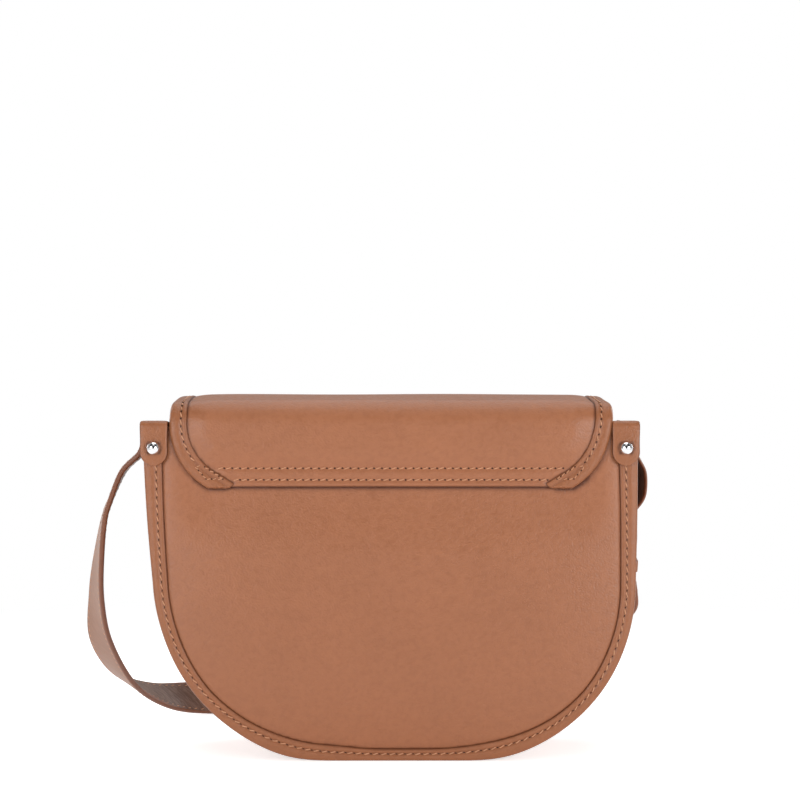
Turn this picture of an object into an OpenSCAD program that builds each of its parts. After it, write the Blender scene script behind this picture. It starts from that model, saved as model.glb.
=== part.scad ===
// Saddle-shaped crossbody bag in smooth tan leather, flap closed, strap lying in front of it.
// The bag faces -Y, its back faces +Y, and it stands on the floor plane z = 0.
// Left and right are as seen from behind, so left is +X and right is -X.

/* [Body] */
// Width over the side bindings at the mouth
body_w = 246; // [220:1:280]
// Depth over the front and back bindings
body_d = 76; // [66:1:100]
// Height of the front and back walls
mouth_z = 165.6; // [155:0.2:168]
// Height at which the gusset ends at each side, under the bridge
gusset_z = 150; // [125:1:151]
// Radius of the two lower corners
corner_r = 88; // [75:1:95]
// How far each side leans out from the corner to the mouth
side_lean_w = 3; // [0:0.5:5]
// Thickness of the front and back panels
panel_t = 1.8; // [1.2:0.1:2.6]
// Thickness of the gusset between the bindings
gusset_t = 2.6; // [2.2:0.1:4]
// Thickness of the binding leather
bind_t = 1.3; // [0.8:0.1:1.6]
// Width of the binding on the front and back panels
bind_w = 9; // [7:0.5:12]
// Width of the binding on the gusset
bind_side_w = 7; // [5:0.5:10]
// Thickness of the stiffening board behind each panel
board_t = 1; // [0.6:0.1:1.6]
// Distance from the body's outline to the edge of the stiffening board
board_inset = 13; // [12:0.5:20]
// Thickness of the lining
lining_t = 0.7; // [0.4:0.1:1]
// Depth of the binding over the front wall's upper edge
mouth_bind_h = 8; // [6:0.5:12]

/* [Flap] */
// Free space between the flap and the bridge on each side
flap_gap = 0.4; // [0.4:0.1:4]
// Height of the crown of the flap
flap_z = 182; // [181.6:0.2:190]
// Radius of the crown from back to front
flap_crown_r = 150; // [120:5:300]
// Outer radius of the roll over the front and back edges
flap_roll_r = 12; // [10:0.5:13]
// Height of the lower edge of the part sewn to the back
flap_back_low = 136; // [130:1:140]
// Radius of the two corners of that part
flap_back_r = 37.5; // [34:0.5:44]
// Height of the centres of those corners
flap_back_z = 168; // [160:1:170]
// Height of the lower edge of the flap's front
flap_front_low = 58; // [50:1:66]
// Radius of the front's two lower corners
flap_front_r = 76; // [60:1:84]
// Height at which the leather bends when the flap opens
flap_bend_z = 168; // [167.4:0.2:169]
// Distance from the front panel to the inner side of the flap
flap_standoff = 3.4; // [3.2:0.1:5]
// Thickness of the flap's leather
flap_leather_t = 1.4; // [1:0.1:1.6]
// Thickness of the flap's stiffening board
flap_board_t = 0.5; // [0.3:0.1:0.7]
// Thickness of the flap's lining
flap_lining_t = 0.6; // [0.4:0.1:0.8]
// Thickness of the flap's binding
flap_bind_t = 1.1; // [0.7:0.1:1.4]
// Width of the flap's binding
flap_bind_w = 9; // [7:0.5:11]

/* [Bridges] */
// Width of the leather bridge over each end of the gusset
bridge_w = 14; // [10:0.5:14.5]
// Thickness of the bridge
bridge_t = 2.6; // [2:0.1:3.2]
// How far the bridge stands out past the side of the body
bridge_proud = 0.9; // [0.8:0.1:2]
// Height of the bridge's rounded lower ends
bridge_low = 146.5; // [140:0.5:148]
// Height of the bridge at its corners
bridge_z = 168.8; // [168.8:0.2:174]
// Outer radius of the bridge's two corners
bridge_corner_r = 3.2; // [2.8:0.1:3.4]
// How far the bridge sags at its middle
bridge_dip = 6; // [4:0.5:7]
// Height of the studs that hold the bridge
stud_z = 155.2; // [153:0.2:158]
// Diameter of the stud's domed head
stud_d = 6.8; // [5:0.2:8]
// Diameter of the stud's post
stud_post_d = 2.4; // [2:0.1:3]
// Diameter of the washer behind the lining
stud_nut_d = 7; // [6:0.5:8]
// Thickness of that washer
stud_nut_t = 1; // [0.6:0.1:1.6]

/* [Strap] */
// Width of the strap
strap_w = 18; // [14:0.5:20]
// Thickness of the long strap
strap_t = 2.8; // [2:0.1:3]
// Thickness of the short strap
short_t = 1.6; // [1.4:0.1:1.8]
// Free space between a strap's loop and its bridge
loop_gap = 0.6; // [0.5:0.1:1]
// Angle at which the right end of the strap hangs forward
hang_a = 12; // [8:1:15]
// Angle at which it leans in under the gusset
hang_b = 2.2; // [1.8:0.1:2.4]
// Distance along the strap from the bridge to the buckle's bar
buckle_drop_l = 90; // [84:1:95]
// Length of the tongue past the buckle's bar
tongue_l = 42; // [38:1:44]
// Diameter of the strap's holes
hole_d = 3.4; // [2.5:0.1:4]
// Distance between the holes
hole_step = 14; // [10:1:15]

/* [Buckle and keepers] */
// Distance between the buckle's two bars
buckle_l = 16; // [15:0.5:20]
// Diameter of the buckle's wire
buckle_wire_d = 2.4; // [2:0.1:2.6]
// Diameter of the prong
prong_d = 2; // [1.6:0.1:2.4]
// Radial clearance of the prong's eye on the bar
prong_fit = 0.1; // [0.05:0.01:0.1]
// Thickness of the prong's eye
prong_eye_t = 0.8; // [0.6:0.1:1]
// Height of each keeper along the strap
keeper_h = 6; // [5:0.5:8]
// Thickness of the keepers
keeper_t = 0.7; // [0.5:0.1:0.8]
// Distance along the strap from the bridge to the fixed keeper
fixed_drop_l = 41; // [40:0.5:42]
// Distance along the strap from the bridge to the sliding keeper
loose_drop_l = 66; // [64:0.5:67]

/* [Closure] */
// Height of the magnetic snap
snap_z = 84; // [76:1:96]
// Diameter of the snap's two discs
snap_d = 18; // [14:0.5:20]
// Diameter of the dome on the flap's disc
snap_dome_d = 5; // [4:0.5:6]
// Diameter of the dish that takes the dome
snap_dish_d = 10; // [9:0.5:11]
// Thickness of the disc on the front panel
snap_socket_t = 1.7; // [1.4:0.1:1.8]
// Thickness of the disc on the flap
snap_stud_t = 1; // [0.8:0.1:1.1]
// Height of the dome
snap_dome_h = 1.2; // [0.9:0.1:1.3]
// Depth of the dish
snap_dish_h = 0.9; // [0.8:0.1:1]
// Width of the two prongs behind each disc
snap_prong_w = 4; // [3:0.5:5]
// Thickness of the prongs
snap_prong_t = 0.8; // [0.6:0.1:1]
// Thickness of the backing plates behind the snap
snap_plate_t = 0.5; // [0.4:0.1:0.8]

/* [Pockets] */
// Length of the zip
zip_l = 130; // [100:1:150]
// Height of the zip's centre line
zip_z = 122; // [110:1:126]
// Width of the window in the lining
zip_slot_h = 10; // [9:0.5:12]
// Width of the leather frame around the window
zip_frame_w = 6; // [5:0.5:8]
// Thickness of that frame
zip_frame_t = 0.9; // [0.6:0.1:1.2]
// Width of the row of teeth
zip_teeth_w = 3; // [2.4:0.1:4]
// Thickness of the row of teeth
zip_teeth_t = 1.2; // [0.9:0.1:1.5]
// Thickness of the zip's tape
zip_tape_t = 0.5; // [0.3:0.1:0.7]
// Length of the slider
slider_l = 8; // [6:0.5:10]
// Width of the slider
slider_w = 6.4; // [5.6:0.2:7]
// Thickness of the slider
slider_t = 1.6; // [1.2:0.1:2]
// Length of the zip's puller
puller_l = 24; // [16:1:30]
// Width of the zip's puller
puller_w = 5; // [4:0.5:6]
// Thickness of the zip's puller
puller_t = 0.9; // [0.7:0.1:1.2]
// Diameter of the puller's pivot
pivot_d = 1.4; // [1.2:0.1:1.6]
// Width of the slip pocket
slip_w = 150; // [110:1:170]
// Height of the slip pocket's open upper edge
slip_top = 118; // [100:1:125]
// Height of the slip pocket's lower edge
slip_low = 34; // [30:1:50]
// Thickness of the zip pocket, lying flat
zip_pocket_t = 0.4; // [0.3:0.1:0.6]
// Thickness of the slip pocket's cloth
slip_t = 0.6; // [0.4:0.1:0.8]
// Width of the sewn border of the pockets
seam_w = 6; // [4:0.5:8]

/* [Hidden] */

// Colours
tan_leather = "#B07A5C";
dark_leather = "#9C6548";
cloth = "#C8B59B";
board_grey = "#8E8A84";
nickel = "#C9CBCE";
dark_metal = "#8C8E92";

// Free space between one ply and the next
ply_gap = 0.1;
// Free space where a piece slides or turns past another
run_gap = 0.3;
// How far a cut runs past what it cuts
over = 200;
// How far the strap's lower edge is drawn above the floor
floor_lift = 0.2;
// Points on a quarter of an outline's arc
arc_n = 12;
round_fn = 48;

// Width of the flat stretch that the bag stands on
base_w = body_w - 2 * (corner_r + side_lean_w);

// Planes across the depth, from the back wall inwards
back_y = body_d / 2;
panel_out = back_y - bind_t - ply_gap;
panel_in = panel_out - panel_t;
board_out = panel_in - ply_gap;
board_in = board_out - board_t;
lining_out = board_in - zip_pocket_t - 2 * ply_gap;
lining_in = lining_out - lining_t;
gusset_half = panel_in - ply_gap;

// Bridge and strap places
bridge_x = body_w / 2 + bridge_proud - bridge_w / 2;
bridge_y = back_y + ply_gap + bridge_t;
flap_w = 2 * (bridge_x - flap_gap) - bridge_w;
stud_hole_d = stud_post_d + 2 * ply_gap;
bridge_mid_z = bridge_z - bridge_dip;
bridge_under_z = bridge_mid_z - bridge_t;

// Points of an arc about [cx, cy] from angle a0 to a1
function arc(cx, cy, r, a0, a1, n = arc_n) =
    [for (k = [0:n]) [cx + r * cos(a0 + (a1 - a0) * k / n), cy + r * sin(a0 + (a1 - a0) * k / n)]];
function mirrored(points) = [for (k = [len(points) - 1:-1:0]) [-points[k][0], points[k][1]]];

// Outline of the body seen from behind, drawn in by i: leaning sides, two corners, a flat base
function body_right(i, top) =
    concat([[side_at(top) - i, top]], arc(base_w / 2, corner_r, corner_r - i, 0, -90));
function body_points(i, top) = concat(body_right(i, top), mirrored(body_right(i, top)));
// Half width of the body's side at a height above the corners
function side_at(z) = body_w / 2 - side_lean_w * (mouth_z - z) / (mouth_z - corner_r);
module body_shape(i, top) {
    polygon(body_points(i, top));
}

// A band along the body's outline between two insets, open at the top
module body_band(i0, i1, top) {
    difference() {
        body_shape(i0, top);
        body_shape(i1, top);
        translate([-side_at(top) + i1, top - ply_gap]) square([2 * (side_at(top) - i1), over]);
    }
}

// Puts a shape drawn in X and Z between two depths
module slab(y0, y1) {
    translate([0, max(y0, y1), 0]) rotate([90, 0, 0]) linear_extrude(abs(y1 - y0)) children();
}

// Puts a profile drawn in Y and Z across a width in X
module across(w) {
    rotate([90, 0, 90]) linear_extrude(w, center = true) children();
}

// Body panels, gusset and bindings

module stud_holes(side) {
    for (x = [-bridge_x, bridge_x])
        translate([x, side * back_y, stud_z]) rotate([90, 0, 0])
            cylinder(h = 2 * (back_y - lining_in + bridge_t), d = stud_hole_d, center = true, $fn = round_fn);
}

module wall_panel(side) {
    color(tan_leather) difference() {
        slab(side * panel_in, side * panel_out) body_shape(bind_t + ply_gap, mouth_z);
        stud_holes(side);
        snap_prongs(run_gap);
    }
}

module back_panel() {
    wall_panel(1);
}

module front_panel() {
    wall_panel(-1);
}

// The gusset's edges are thinned so that the bindings lie flush with it
module gusset() {
    flush_half = back_y - bind_side_w - ply_gap;
    color(tan_leather) {
        slab(-flush_half, flush_half) body_band(0, gusset_t, gusset_z);
        for (side = [-1, 1])
            slab(side * flush_half, side * gusset_half) body_band(bind_t + ply_gap, gusset_t, gusset_z);
    }
}

module wall_binding(side) {
    color(dark_leather) difference() {
        union() {
            slab(side * (panel_out + ply_gap), side * back_y) body_band(0, bind_w, mouth_z);
            slab(side * (back_y - bind_side_w), side * (panel_out + ply_gap)) body_band(0, bind_t, mouth_z);
        }
        stud_holes(side);
    }
}

module back_binding() {
    wall_binding(1);
}

module front_binding() {
    wall_binding(-1);
}

// Folded strip over the front wall's upper edge, between the two ends of the binding
module mouth_binding() {
    half_w = bridge_x - bridge_w / 2 - run_gap;
    inner = -lining_in + bind_t + ply_gap;
    color(dark_leather) difference() {
        translate([-half_w, -back_y, mouth_z - mouth_bind_h])
            cube([2 * half_w, back_y + inner, mouth_bind_h + ply_gap + bind_t]);
        translate([-over, -panel_out - ply_gap, mouth_z - mouth_bind_h - over])
            cube([2 * over, panel_out - lining_in + 2 * ply_gap, mouth_bind_h + over + ply_gap]);
    }
}

module wall_board(side) {
    color(board_grey) slab(side * board_in, side * board_out)
        intersection() {
            body_shape(board_inset, mouth_z);
            translate([-over, 0]) square([2 * over, mouth_z - mouth_bind_h]);
        }
}

module back_board() {
    wall_board(1);
}

module front_board() {
    difference() {
        wall_board(-1);
        snap_prongs(run_gap);
    }
}

// Board that lies on the lining in the bottom of the bag
module base_board() {
    z = gusset_t + lining_t + 2 * ply_gap;
    half_w = base_w / 2;
    half_d = lining_in - run_gap;
    color(dark_leather) translate([-half_w, -half_d, z]) cube([2 * half_w, 2 * half_d, board_t]);
}

module wall_lining(side) {
    color(cloth) difference() {
        slab(side * lining_in, side * lining_out) body_shape(gusset_t + ply_gap, mouth_z);
        stud_holes(side);
        snap_prongs(run_gap);
    }
}

module back_lining() {
    difference() {
        wall_lining(1);
        color(cloth) translate([-zip_l / 2, 0, zip_z - zip_slot_h / 2]) cube([zip_l, body_d, zip_slot_h]);
    }
}

module front_lining() {
    wall_lining(-1);
}

module gusset_lining() {
    half_d = lining_in - ply_gap;
    i = gusset_t + ply_gap;
    color(cloth) slab(-half_d, half_d) body_band(i, i + lining_t, gusset_z);
}

// Pockets

// Patch of lining cloth sewn to the front lining round three sides, open at the top
module slip_pocket() {
    y = -lining_in + ply_gap;
    color(cloth) {
        slab(y, y + slip_t) difference() {
            translate([-slip_w / 2, slip_low]) square([slip_w, slip_top - slip_low]);
            translate([-slip_w / 2 + seam_w, slip_low + seam_w]) square([slip_w - 2 * seam_w, slip_top]);
        }
        slab(y + slip_t, y + 2 * slip_t)
            translate([-slip_w / 2, slip_low]) square([slip_w, slip_top - slip_low]);
    }
}

// Flat cloth bag that hangs between the back lining and the stiffening board
module zip_pocket() {
    top = zip_z + zip_slot_h / 2 + seam_w;
    y = lining_out + ply_gap;
    color(cloth) slab(y, y + zip_pocket_t)
        translate([-zip_l / 2 - seam_w, slip_low]) square([zip_l + 2 * seam_w, top - slip_low]);
}

module zip_frame() {
    y = lining_in - ply_gap;
    color(tan_leather) slab(y - zip_frame_t, y) difference() {
        translate([-zip_l / 2 - zip_frame_w, zip_z - zip_slot_h / 2 - zip_frame_w])
            square([zip_l + 2 * zip_frame_w, zip_slot_h + 2 * zip_frame_w]);
        translate([-zip_l / 2, zip_z - zip_slot_h / 2]) square([zip_l, zip_slot_h]);
    }
}

module zip_tape() {
    color(dark_leather) slab(lining_out - zip_tape_t, lining_out) difference() {
        translate([-zip_l / 2 + ply_gap, zip_z - zip_slot_h / 2 + ply_gap])
            square([zip_l - 2 * ply_gap, zip_slot_h - 2 * ply_gap]);
        translate([-zip_l / 2 + seam_w - ply_gap, zip_z - zip_teeth_w / 2 - ply_gap])
            square([zip_l - 2 * seam_w + 2 * ply_gap, zip_teeth_w + 2 * ply_gap]);
    }
}

// The closed row of teeth with a stop at each end
module zip_teeth() {
    stop_l = zip_teeth_w;
    color(nickel) slab(lining_out - zip_teeth_t, lining_out)
        translate([-zip_l / 2 + seam_w, zip_z - zip_teeth_w / 2]) square([zip_l - 2 * seam_w, zip_teeth_w]);
    color(nickel) for (x = [-zip_l / 2 + seam_w, zip_l / 2 - seam_w - stop_l])
        slab(zip_face - slider_t, lining_out - zip_teeth_t)
            translate([x, zip_z - zip_teeth_w / 2]) square([stop_l, zip_teeth_w]);
}

zip_face = lining_out - zip_teeth_t - run_gap;
slider_x = -zip_l / 2 + seam_w + zip_teeth_w + run_gap;
zip_travel = zip_l - 2 * seam_w - 2 * zip_teeth_w - 2 * run_gap - slider_l;
pivot_y = zip_face - slider_t - run_gap - puller_t / 2;

// Slider that runs on the teeth, with two ears for the puller's pivot
module zip_slider() {
    ear = puller_w + 2 * run_gap;
    ear_t = zip_teeth_w / 4;
    color(dark_metal) difference() {
        union() {
            slab(zip_face - slider_t, zip_face)
                translate([slider_x, zip_z - slider_w / 2]) square([slider_l, slider_w]);
            for (x = [-ear / 2 - ear_t, ear / 2])
                translate([slider_x + slider_l / 2 + x, pivot_y - pivot_d, zip_z - pivot_d])
                    cube([ear_t, zip_face - slider_t - pivot_y + pivot_d, 2 * pivot_d]);
        }
        translate([slider_x + slider_l / 2, pivot_y, zip_z]) rotate([0, 90, 0])
            cylinder(h = over, d = pivot_d + 2 * prong_fit, center = true, $fn = round_fn);
    }
}

// Puller that hangs from the slider on its own pivot
module zip_puller() {
    pin_l = puller_w + 2 * run_gap + zip_teeth_w / 2;
    color(dark_metal) translate([slider_x + slider_l / 2, pivot_y, zip_z]) {
        rotate([0, 90, 0]) cylinder(h = pin_l, d = pivot_d, center = true, $fn = round_fn);
        slab(-puller_t / 2, puller_t / 2) difference() {
            union() {
                translate([-puller_w / 2, -puller_l + puller_w / 2])
                    square([puller_w, puller_l - puller_w / 2]);
                translate([0, -puller_l + puller_w / 2]) circle(d = puller_w, $fn = round_fn);
            }
            translate([0, -puller_l + puller_w / 2]) circle(d = puller_w / 2, $fn = round_fn);
        }
    }
}

// Flap

flap_t = flap_leather_t + flap_board_t + flap_lining_t + 2 * ply_gap;
flap_back_y = panel_out + ply_gap + flap_t;
flap_front_y = panel_out + flap_standoff + flap_t;
flap_mid_y = (flap_back_y - flap_front_y) / 2;
flap_half_d = (flap_back_y + flap_front_y) / 2;
crown_z = flap_z - flap_crown_r;
roll_z = crown_z + sqrt(pow(flap_crown_r - flap_roll_r, 2) - pow(flap_half_d - flap_roll_r, 2));
roll_a = acos((flap_half_d - flap_roll_r) / (flap_crown_r - flap_roll_r));

// Side profile of the flap at a depth i under its outer face: up the back, over the crown, down the front
function flap_path(i) = concat(
    [[flap_mid_y + flap_half_d - i, flap_back_low]],
    arc(flap_mid_y + flap_half_d - flap_roll_r, roll_z, flap_roll_r - i, 0, roll_a),
    arc(flap_mid_y, crown_z, flap_crown_r - i, roll_a, 180 - roll_a),
    arc(flap_mid_y - flap_half_d + flap_roll_r, roll_z, flap_roll_r - i, 180 - roll_a, 180),
    [[flap_mid_y - flap_half_d + i, flap_front_low - over]]
);
function reversed(points) = [for (k = [len(points) - 1:-1:0]) points[k]];

module flap_ply(i0, i1) {
    across(over + flap_w) polygon(concat(flap_path(i0), reversed(flap_path(i1))));
}

// Outline of the flap's front, drawn in by i
function flap_front_right(i) = concat(
    [[flap_w / 2 - i, flap_z + over]],
    arc(flap_w / 2 - flap_front_r, flap_front_low + flap_front_r, flap_front_r - i, 0, -90)
);
// Outline of the part on the back, drawn in by i at its sides only
function flap_back_right(i) = concat(
    [[flap_w / 2 - i, flap_z + over]],
    arc(flap_w / 2 - flap_back_r, flap_back_z, flap_back_r - i, 0, -back_cut_a(i))
);
function back_cut_a(i) = asin(min(1, (flap_back_z - flap_back_low) / (flap_back_r - i)));

module flap_mask(i) {
    slab(-over, flap_mid_y) polygon(concat(flap_front_right(i), mirrored(flap_front_right(i))));
    slab(flap_mid_y, over) intersection() {
        polygon(concat(flap_back_right(i), mirrored(flap_back_right(i))));
        translate([-over, flap_back_low]) square([2 * over, over]);
    }
}

// The fixed part lies behind the bend and below it
module flap_fixed_zone() {
    translate([-over, flap_mid_y, 0]) cube([2 * over, over, flap_bend_z - run_gap]);
}

module flap_moving_zone() {
    difference() {
        translate([-over, -over, 0]) cube([2 * over, 2 * over, 2 * over]);
        translate([-over, flap_mid_y, -over]) cube([2 * over, over, flap_bend_z + run_gap + over]);
    }
}

module flap_piece(i0, i1, inset) {
    intersection() {
        flap_ply(i0, i1);
        flap_mask(inset);
    }
}

// Binding folded round the flap's edge; the inner leg is left out where the flap is sewn down
module flap_edge_band(outer, inner) {
    intersection() {
        difference() {
            flap_ply(-outer, flap_t + inner);
            intersection() {
                flap_ply(-ply_gap, flap_t + ply_gap);
                flap_mask(flap_bind_t);
            }
        }
        difference() {
            flap_mask(0);
            flap_mask(flap_bind_w);
        }
    }
}

lining_depth = flap_leather_t + flap_board_t + 2 * ply_gap;

module flap_anchor() {
    color(tan_leather) intersection() {
        flap_piece(0, flap_leather_t, flap_bind_t + ply_gap);
        flap_fixed_zone();
    }
}

module flap_anchor_lining() {
    color(dark_leather) intersection() {
        flap_piece(flap_leather_t + ply_gap, flap_t, flap_bind_t + ply_gap);
        flap_fixed_zone();
    }
}

module flap_anchor_binding() {
    color(dark_leather) intersection() {
        flap_edge_band(flap_bind_t, 0);
        flap_fixed_zone();
    }
}

module flap_leather() {
    color(tan_leather) intersection() {
        flap_piece(0, flap_leather_t, flap_bind_t + ply_gap);
        flap_moving_zone();
    }
}

module flap_board() {
    color(board_grey) difference() {
        intersection() {
            flap_piece(flap_leather_t + ply_gap, flap_leather_t + ply_gap + flap_board_t, flap_bind_w);
            flap_moving_zone();
        }
        snap_hole();
    }
}

module flap_lining() {
    color(dark_leather) difference() {
        intersection() {
            flap_piece(lining_depth, flap_t, flap_bind_t + ply_gap);
            flap_moving_zone();
        }
        snap_hole();
    }
}

module flap_binding() {
    color(dark_leather) intersection() {
        flap_edge_band(flap_bind_t, flap_bind_t);
        flap_moving_zone();
    }
}

// Bridges and their studs

// Side profile of half a bridge at a depth i under its outer face
function bridge_sag(y) =
    bridge_dip * (1 + cos(180 * y / (bridge_y - bridge_corner_r))) / 2;
function bridge_half(i) = concat(
    [[bridge_y - i, 0]],
    arc(bridge_y - bridge_corner_r, bridge_z - bridge_corner_r, bridge_corner_r - i, 0, 90),
    [for (k = [arc_n - 1:-1:0])
        let (y = (bridge_y - bridge_corner_r) * k / arc_n) [y, bridge_z - i - bridge_sag(y)]]
);
function bridge_path(i) = concat(
    bridge_half(i),
    [for (k = [len(bridge_half(i)) - 2:-1:0]) [-bridge_half(i)[k][0], bridge_half(i)[k][1]]]
);

module bridge(x) {
    color(tan_leather) translate([x, 0, 0]) difference() {
        intersection() {
            across(bridge_w) polygon(concat(bridge_path(0), reversed(bridge_path(bridge_t))));
            slab(-over, over) union() {
                translate([-bridge_w / 2, bridge_low + bridge_w / 2]) square([bridge_w, over]);
                translate([0, bridge_low + bridge_w / 2]) circle(d = bridge_w, $fn = round_fn);
            }
        }
        translate([0, 0, stud_z]) rotate([90, 0, 0])
            cylinder(h = over, d = stud_hole_d, center = true, $fn = round_fn);
    }
}

module left_bridge() {
    bridge(bridge_x);
}

module right_bridge() {
    bridge(-bridge_x);
}

// Four domed studs whose posts pass through the bridge and the wall
module bridge_studs() {
    washer_out = lining_in - ply_gap;
    color(nickel) for (x = [-bridge_x, bridge_x], side = [-1, 1]) translate([x, 0, stud_z]) {
        intersection() {
            translate([0, side * bridge_y, 0]) sphere(d = stud_d, $fn = round_fn);
            slab(side * (bridge_y + ply_gap / 2), side * (bridge_y + stud_d))
                square(2 * stud_d, center = true);
        }
        slab(side * (washer_out - stud_nut_t), side * (bridge_y + ply_gap))
            circle(d = stud_post_d, $fn = round_fn);
    }
}

module stud_washers() {
    washer_out = lining_in - ply_gap;
    color(dark_metal) for (x = [-bridge_x, bridge_x], side = [-1, 1])
        translate([x, 0, stud_z]) slab(side * (washer_out - stud_nut_t), side * washer_out) difference() {
            circle(d = stud_nut_d, $fn = round_fn);
            circle(d = stud_hole_d, $fn = round_fn);
        }
}

// Strap

// Frame of the strap's right end: x across the strap, y towards the bag, z up along the strap
module hang() {
    translate([-bridge_x, 0, bridge_mid_z]) rotate([-hang_a, 0, 0]) rotate([0, -hang_b, 0])
        rotate([0, 0, -90]) children();
}

// Puts a shape drawn as distance outwards and height along the strap across a width
module hang_across(w) {
    hang() rotate([90, 0, -90]) linear_extrude(w, center = true) children();
}

hang_t = [-sin(hang_b), cos(hang_b) * sin(hang_a), cos(hang_b) * cos(hang_a)];
hang_w = [0, -cos(hang_a), sin(hang_a)];
hang_n = cross(hang_t, hang_w);
function hang_point(out, s) = [-bridge_x, 0, bridge_mid_z] + hang_t * s - hang_n * out;

// Smooth curve through hand-chosen points, with n steps from each to the next
function blend(a, b, c, d, t) =
    (2 * b + (c - a) * t + (2 * a - 5 * b + 4 * c - d) * pow(t, 2) + (3 * b - a - 3 * c + d) * pow(t, 3)) / 2;
function smooth(p, n) = concat(
    [for (k = [0:len(p) - 2], m = [0:n - 1])
        blend(p[max(k - 1, 0)], p[k], p[k + 1], p[min(k + 2, len(p) - 1)], m / n)],
    [p[len(p) - 1]]
);
function unit(v) = v / norm(v);

// The points of a curve without its two ends
function between(p) = [for (k = [1:len(p) - 2]) p[k]];

// Ribbon of a thickness drawn about a flat curve
function side_of(p, k) =
    let (t = unit(p[min(k + 1, len(p) - 1)] - p[max(k - 1, 0)])) [-t[1], t[0]];
function ribbon(p, t) = concat(
    [for (k = [0:len(p) - 1]) p[k] + side_of(p, k) * t / 2],
    [for (k = [len(p) - 1:-1:0]) p[k] - side_of(p, k) * t / 2]
);

// Short strap: distance outwards from the bridge's middle, and height along the strap

// Space that the tilted loop needs above and below the bridge
tilt_h = strap_w / 2 * sin(hang_a);
short_in = bridge_w / 2 + loop_gap + short_t / 2;
// The loop's two layers hang this far out, clear of the gusset
layer_in = short_in - loop_gap + run_gap / 2;
layer_out = layer_in + short_t + ply_gap * 2;
loop_top = short_t / 2 + run_gap + tilt_h + bridge_dip / 5;
loop_low = -bridge_t - run_gap - tilt_h - short_t / 2;
loop_mid = (loop_top + loop_low) / 2;
loop_r = (loop_top - loop_low) / 2;
bulge = short_t * 2.6;
keeper_low = -fixed_drop_l - keeper_h;

bar_out = layer_out - short_t / 2 - ply_gap / 2;
fold_r = buckle_wire_d / 2 + run_gap + short_t / 2;

// The strip runs from its sewn end by the gusset, round the bridge and down to the buckle's bar
bridge_turn = arc(-bridge_w / 2, loop_mid, loop_r, -90, -270);
bar_turn = arc(bar_out, -buckle_drop_l, fold_r, 0, -180);
short_curve = concat(
    smooth([
        [layer_in, keeper_low],
        [layer_in, keeper_low * 0.6],
        [layer_in, -bridge_w * 1.3],
        [layer_in - short_t * 0.05, -bridge_w],
        [layer_in - short_t * 0.8, -bridge_w * 0.76],
        [layer_in - short_t * 2.4, loop_low - short_t * 0.75],
        [bridge_w * 0.1, loop_low - ply_gap],
        [-bridge_w * 0.2, loop_low],
        bridge_turn[0],
    ], 3),
    between(bridge_turn),
    smooth([
        bridge_turn[arc_n],
        [-bridge_w * 0.1, loop_top],
        [bridge_w * 0.25, loop_top + ply_gap],
        [bridge_w / 2, loop_top],
        [short_in - ply_gap, loop_top - short_t / 2],
        [short_in, loop_mid],
        [short_in, loop_low - short_t],
        [short_in + bulge * 0.3, -bridge_w],
        [short_in + bulge, -bridge_w * 1.5],
        [short_in + bulge * 1.1, -bridge_w * 2.05],
        [short_in + bulge * 0.75, -bridge_w * 2.5],
        [layer_out, -fixed_drop_l + run_gap],
        [layer_out, keeper_low],
        [layer_out, -buckle_drop_l + buckle_l * 1.6],
        [layer_out, -buckle_drop_l + buckle_l],
        [bar_out + fold_r - short_t / 3, -buckle_drop_l + buckle_l * 0.4],
        bar_turn[0],
    ], 3),
    between(bar_turn),
    smooth([
        bar_turn[arc_n],
        [bar_out - fold_r + short_t / 3, -buckle_drop_l + buckle_l * 0.4],
        [bar_out * 2 - layer_out, -buckle_drop_l + buckle_l],
    ], 3)
);

module short_strap() {
    notch_w = prong_d * 2 + 2 * run_gap;
    color(tan_leather) difference() {
        hang_across(strap_w) polygon(ribbon(short_curve, short_t));
        hang() translate([-notch_w / 2, -bar_out - fold_r * 2, -buckle_drop_l - fold_r * 2])
            cube([notch_w, fold_r * 4, fold_r * 3]);
    }
}

// Buckle: a wire frame with a bar at each end, the upper one carrying the prong
module buckle_frame() {
    half_w = strap_w / 2 + run_gap + buckle_wire_d / 2;
    color(nickel) hang() translate([0, -bar_out, -buckle_drop_l]) {
        for (s = [0, -buckle_l]) translate([0, 0, s]) rotate([0, 90, 0])
            cylinder(h = 2 * half_w, d = buckle_wire_d, center = true, $fn = round_fn);
        for (x = [-half_w, half_w]) {
            translate([x, 0, -buckle_l]) cylinder(h = buckle_l, d = buckle_wire_d, $fn = round_fn);
            for (s = [0, -buckle_l]) translate([x, 0, s]) sphere(d = buckle_wire_d, $fn = round_fn);
        }
    }
}

prong_out = buckle_wire_d / 2 + prong_d / 2 + ply_gap;
eye_r = buckle_wire_d / 2 + prong_fit + prong_eye_t;

// Prong whose eye turns on the upper bar and whose tip rests on the lower one
module buckle_prong() {
    color(nickel) hang() translate([0, -bar_out, -buckle_drop_l]) difference() {
        union() {
            rotate([0, 90, 0]) cylinder(h = prong_d * 2, r = eye_r, center = true, $fn = round_fn);
            translate([0, -prong_out, -buckle_l - buckle_wire_d / 2])
                cylinder(h = buckle_l + buckle_wire_d / 2, d = prong_d, $fn = round_fn);
        }
        rotate([0, 90, 0])
            cylinder(h = over, r = buckle_wire_d / 2 + prong_fit, center = true, $fn = round_fn);
    }
}

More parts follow.
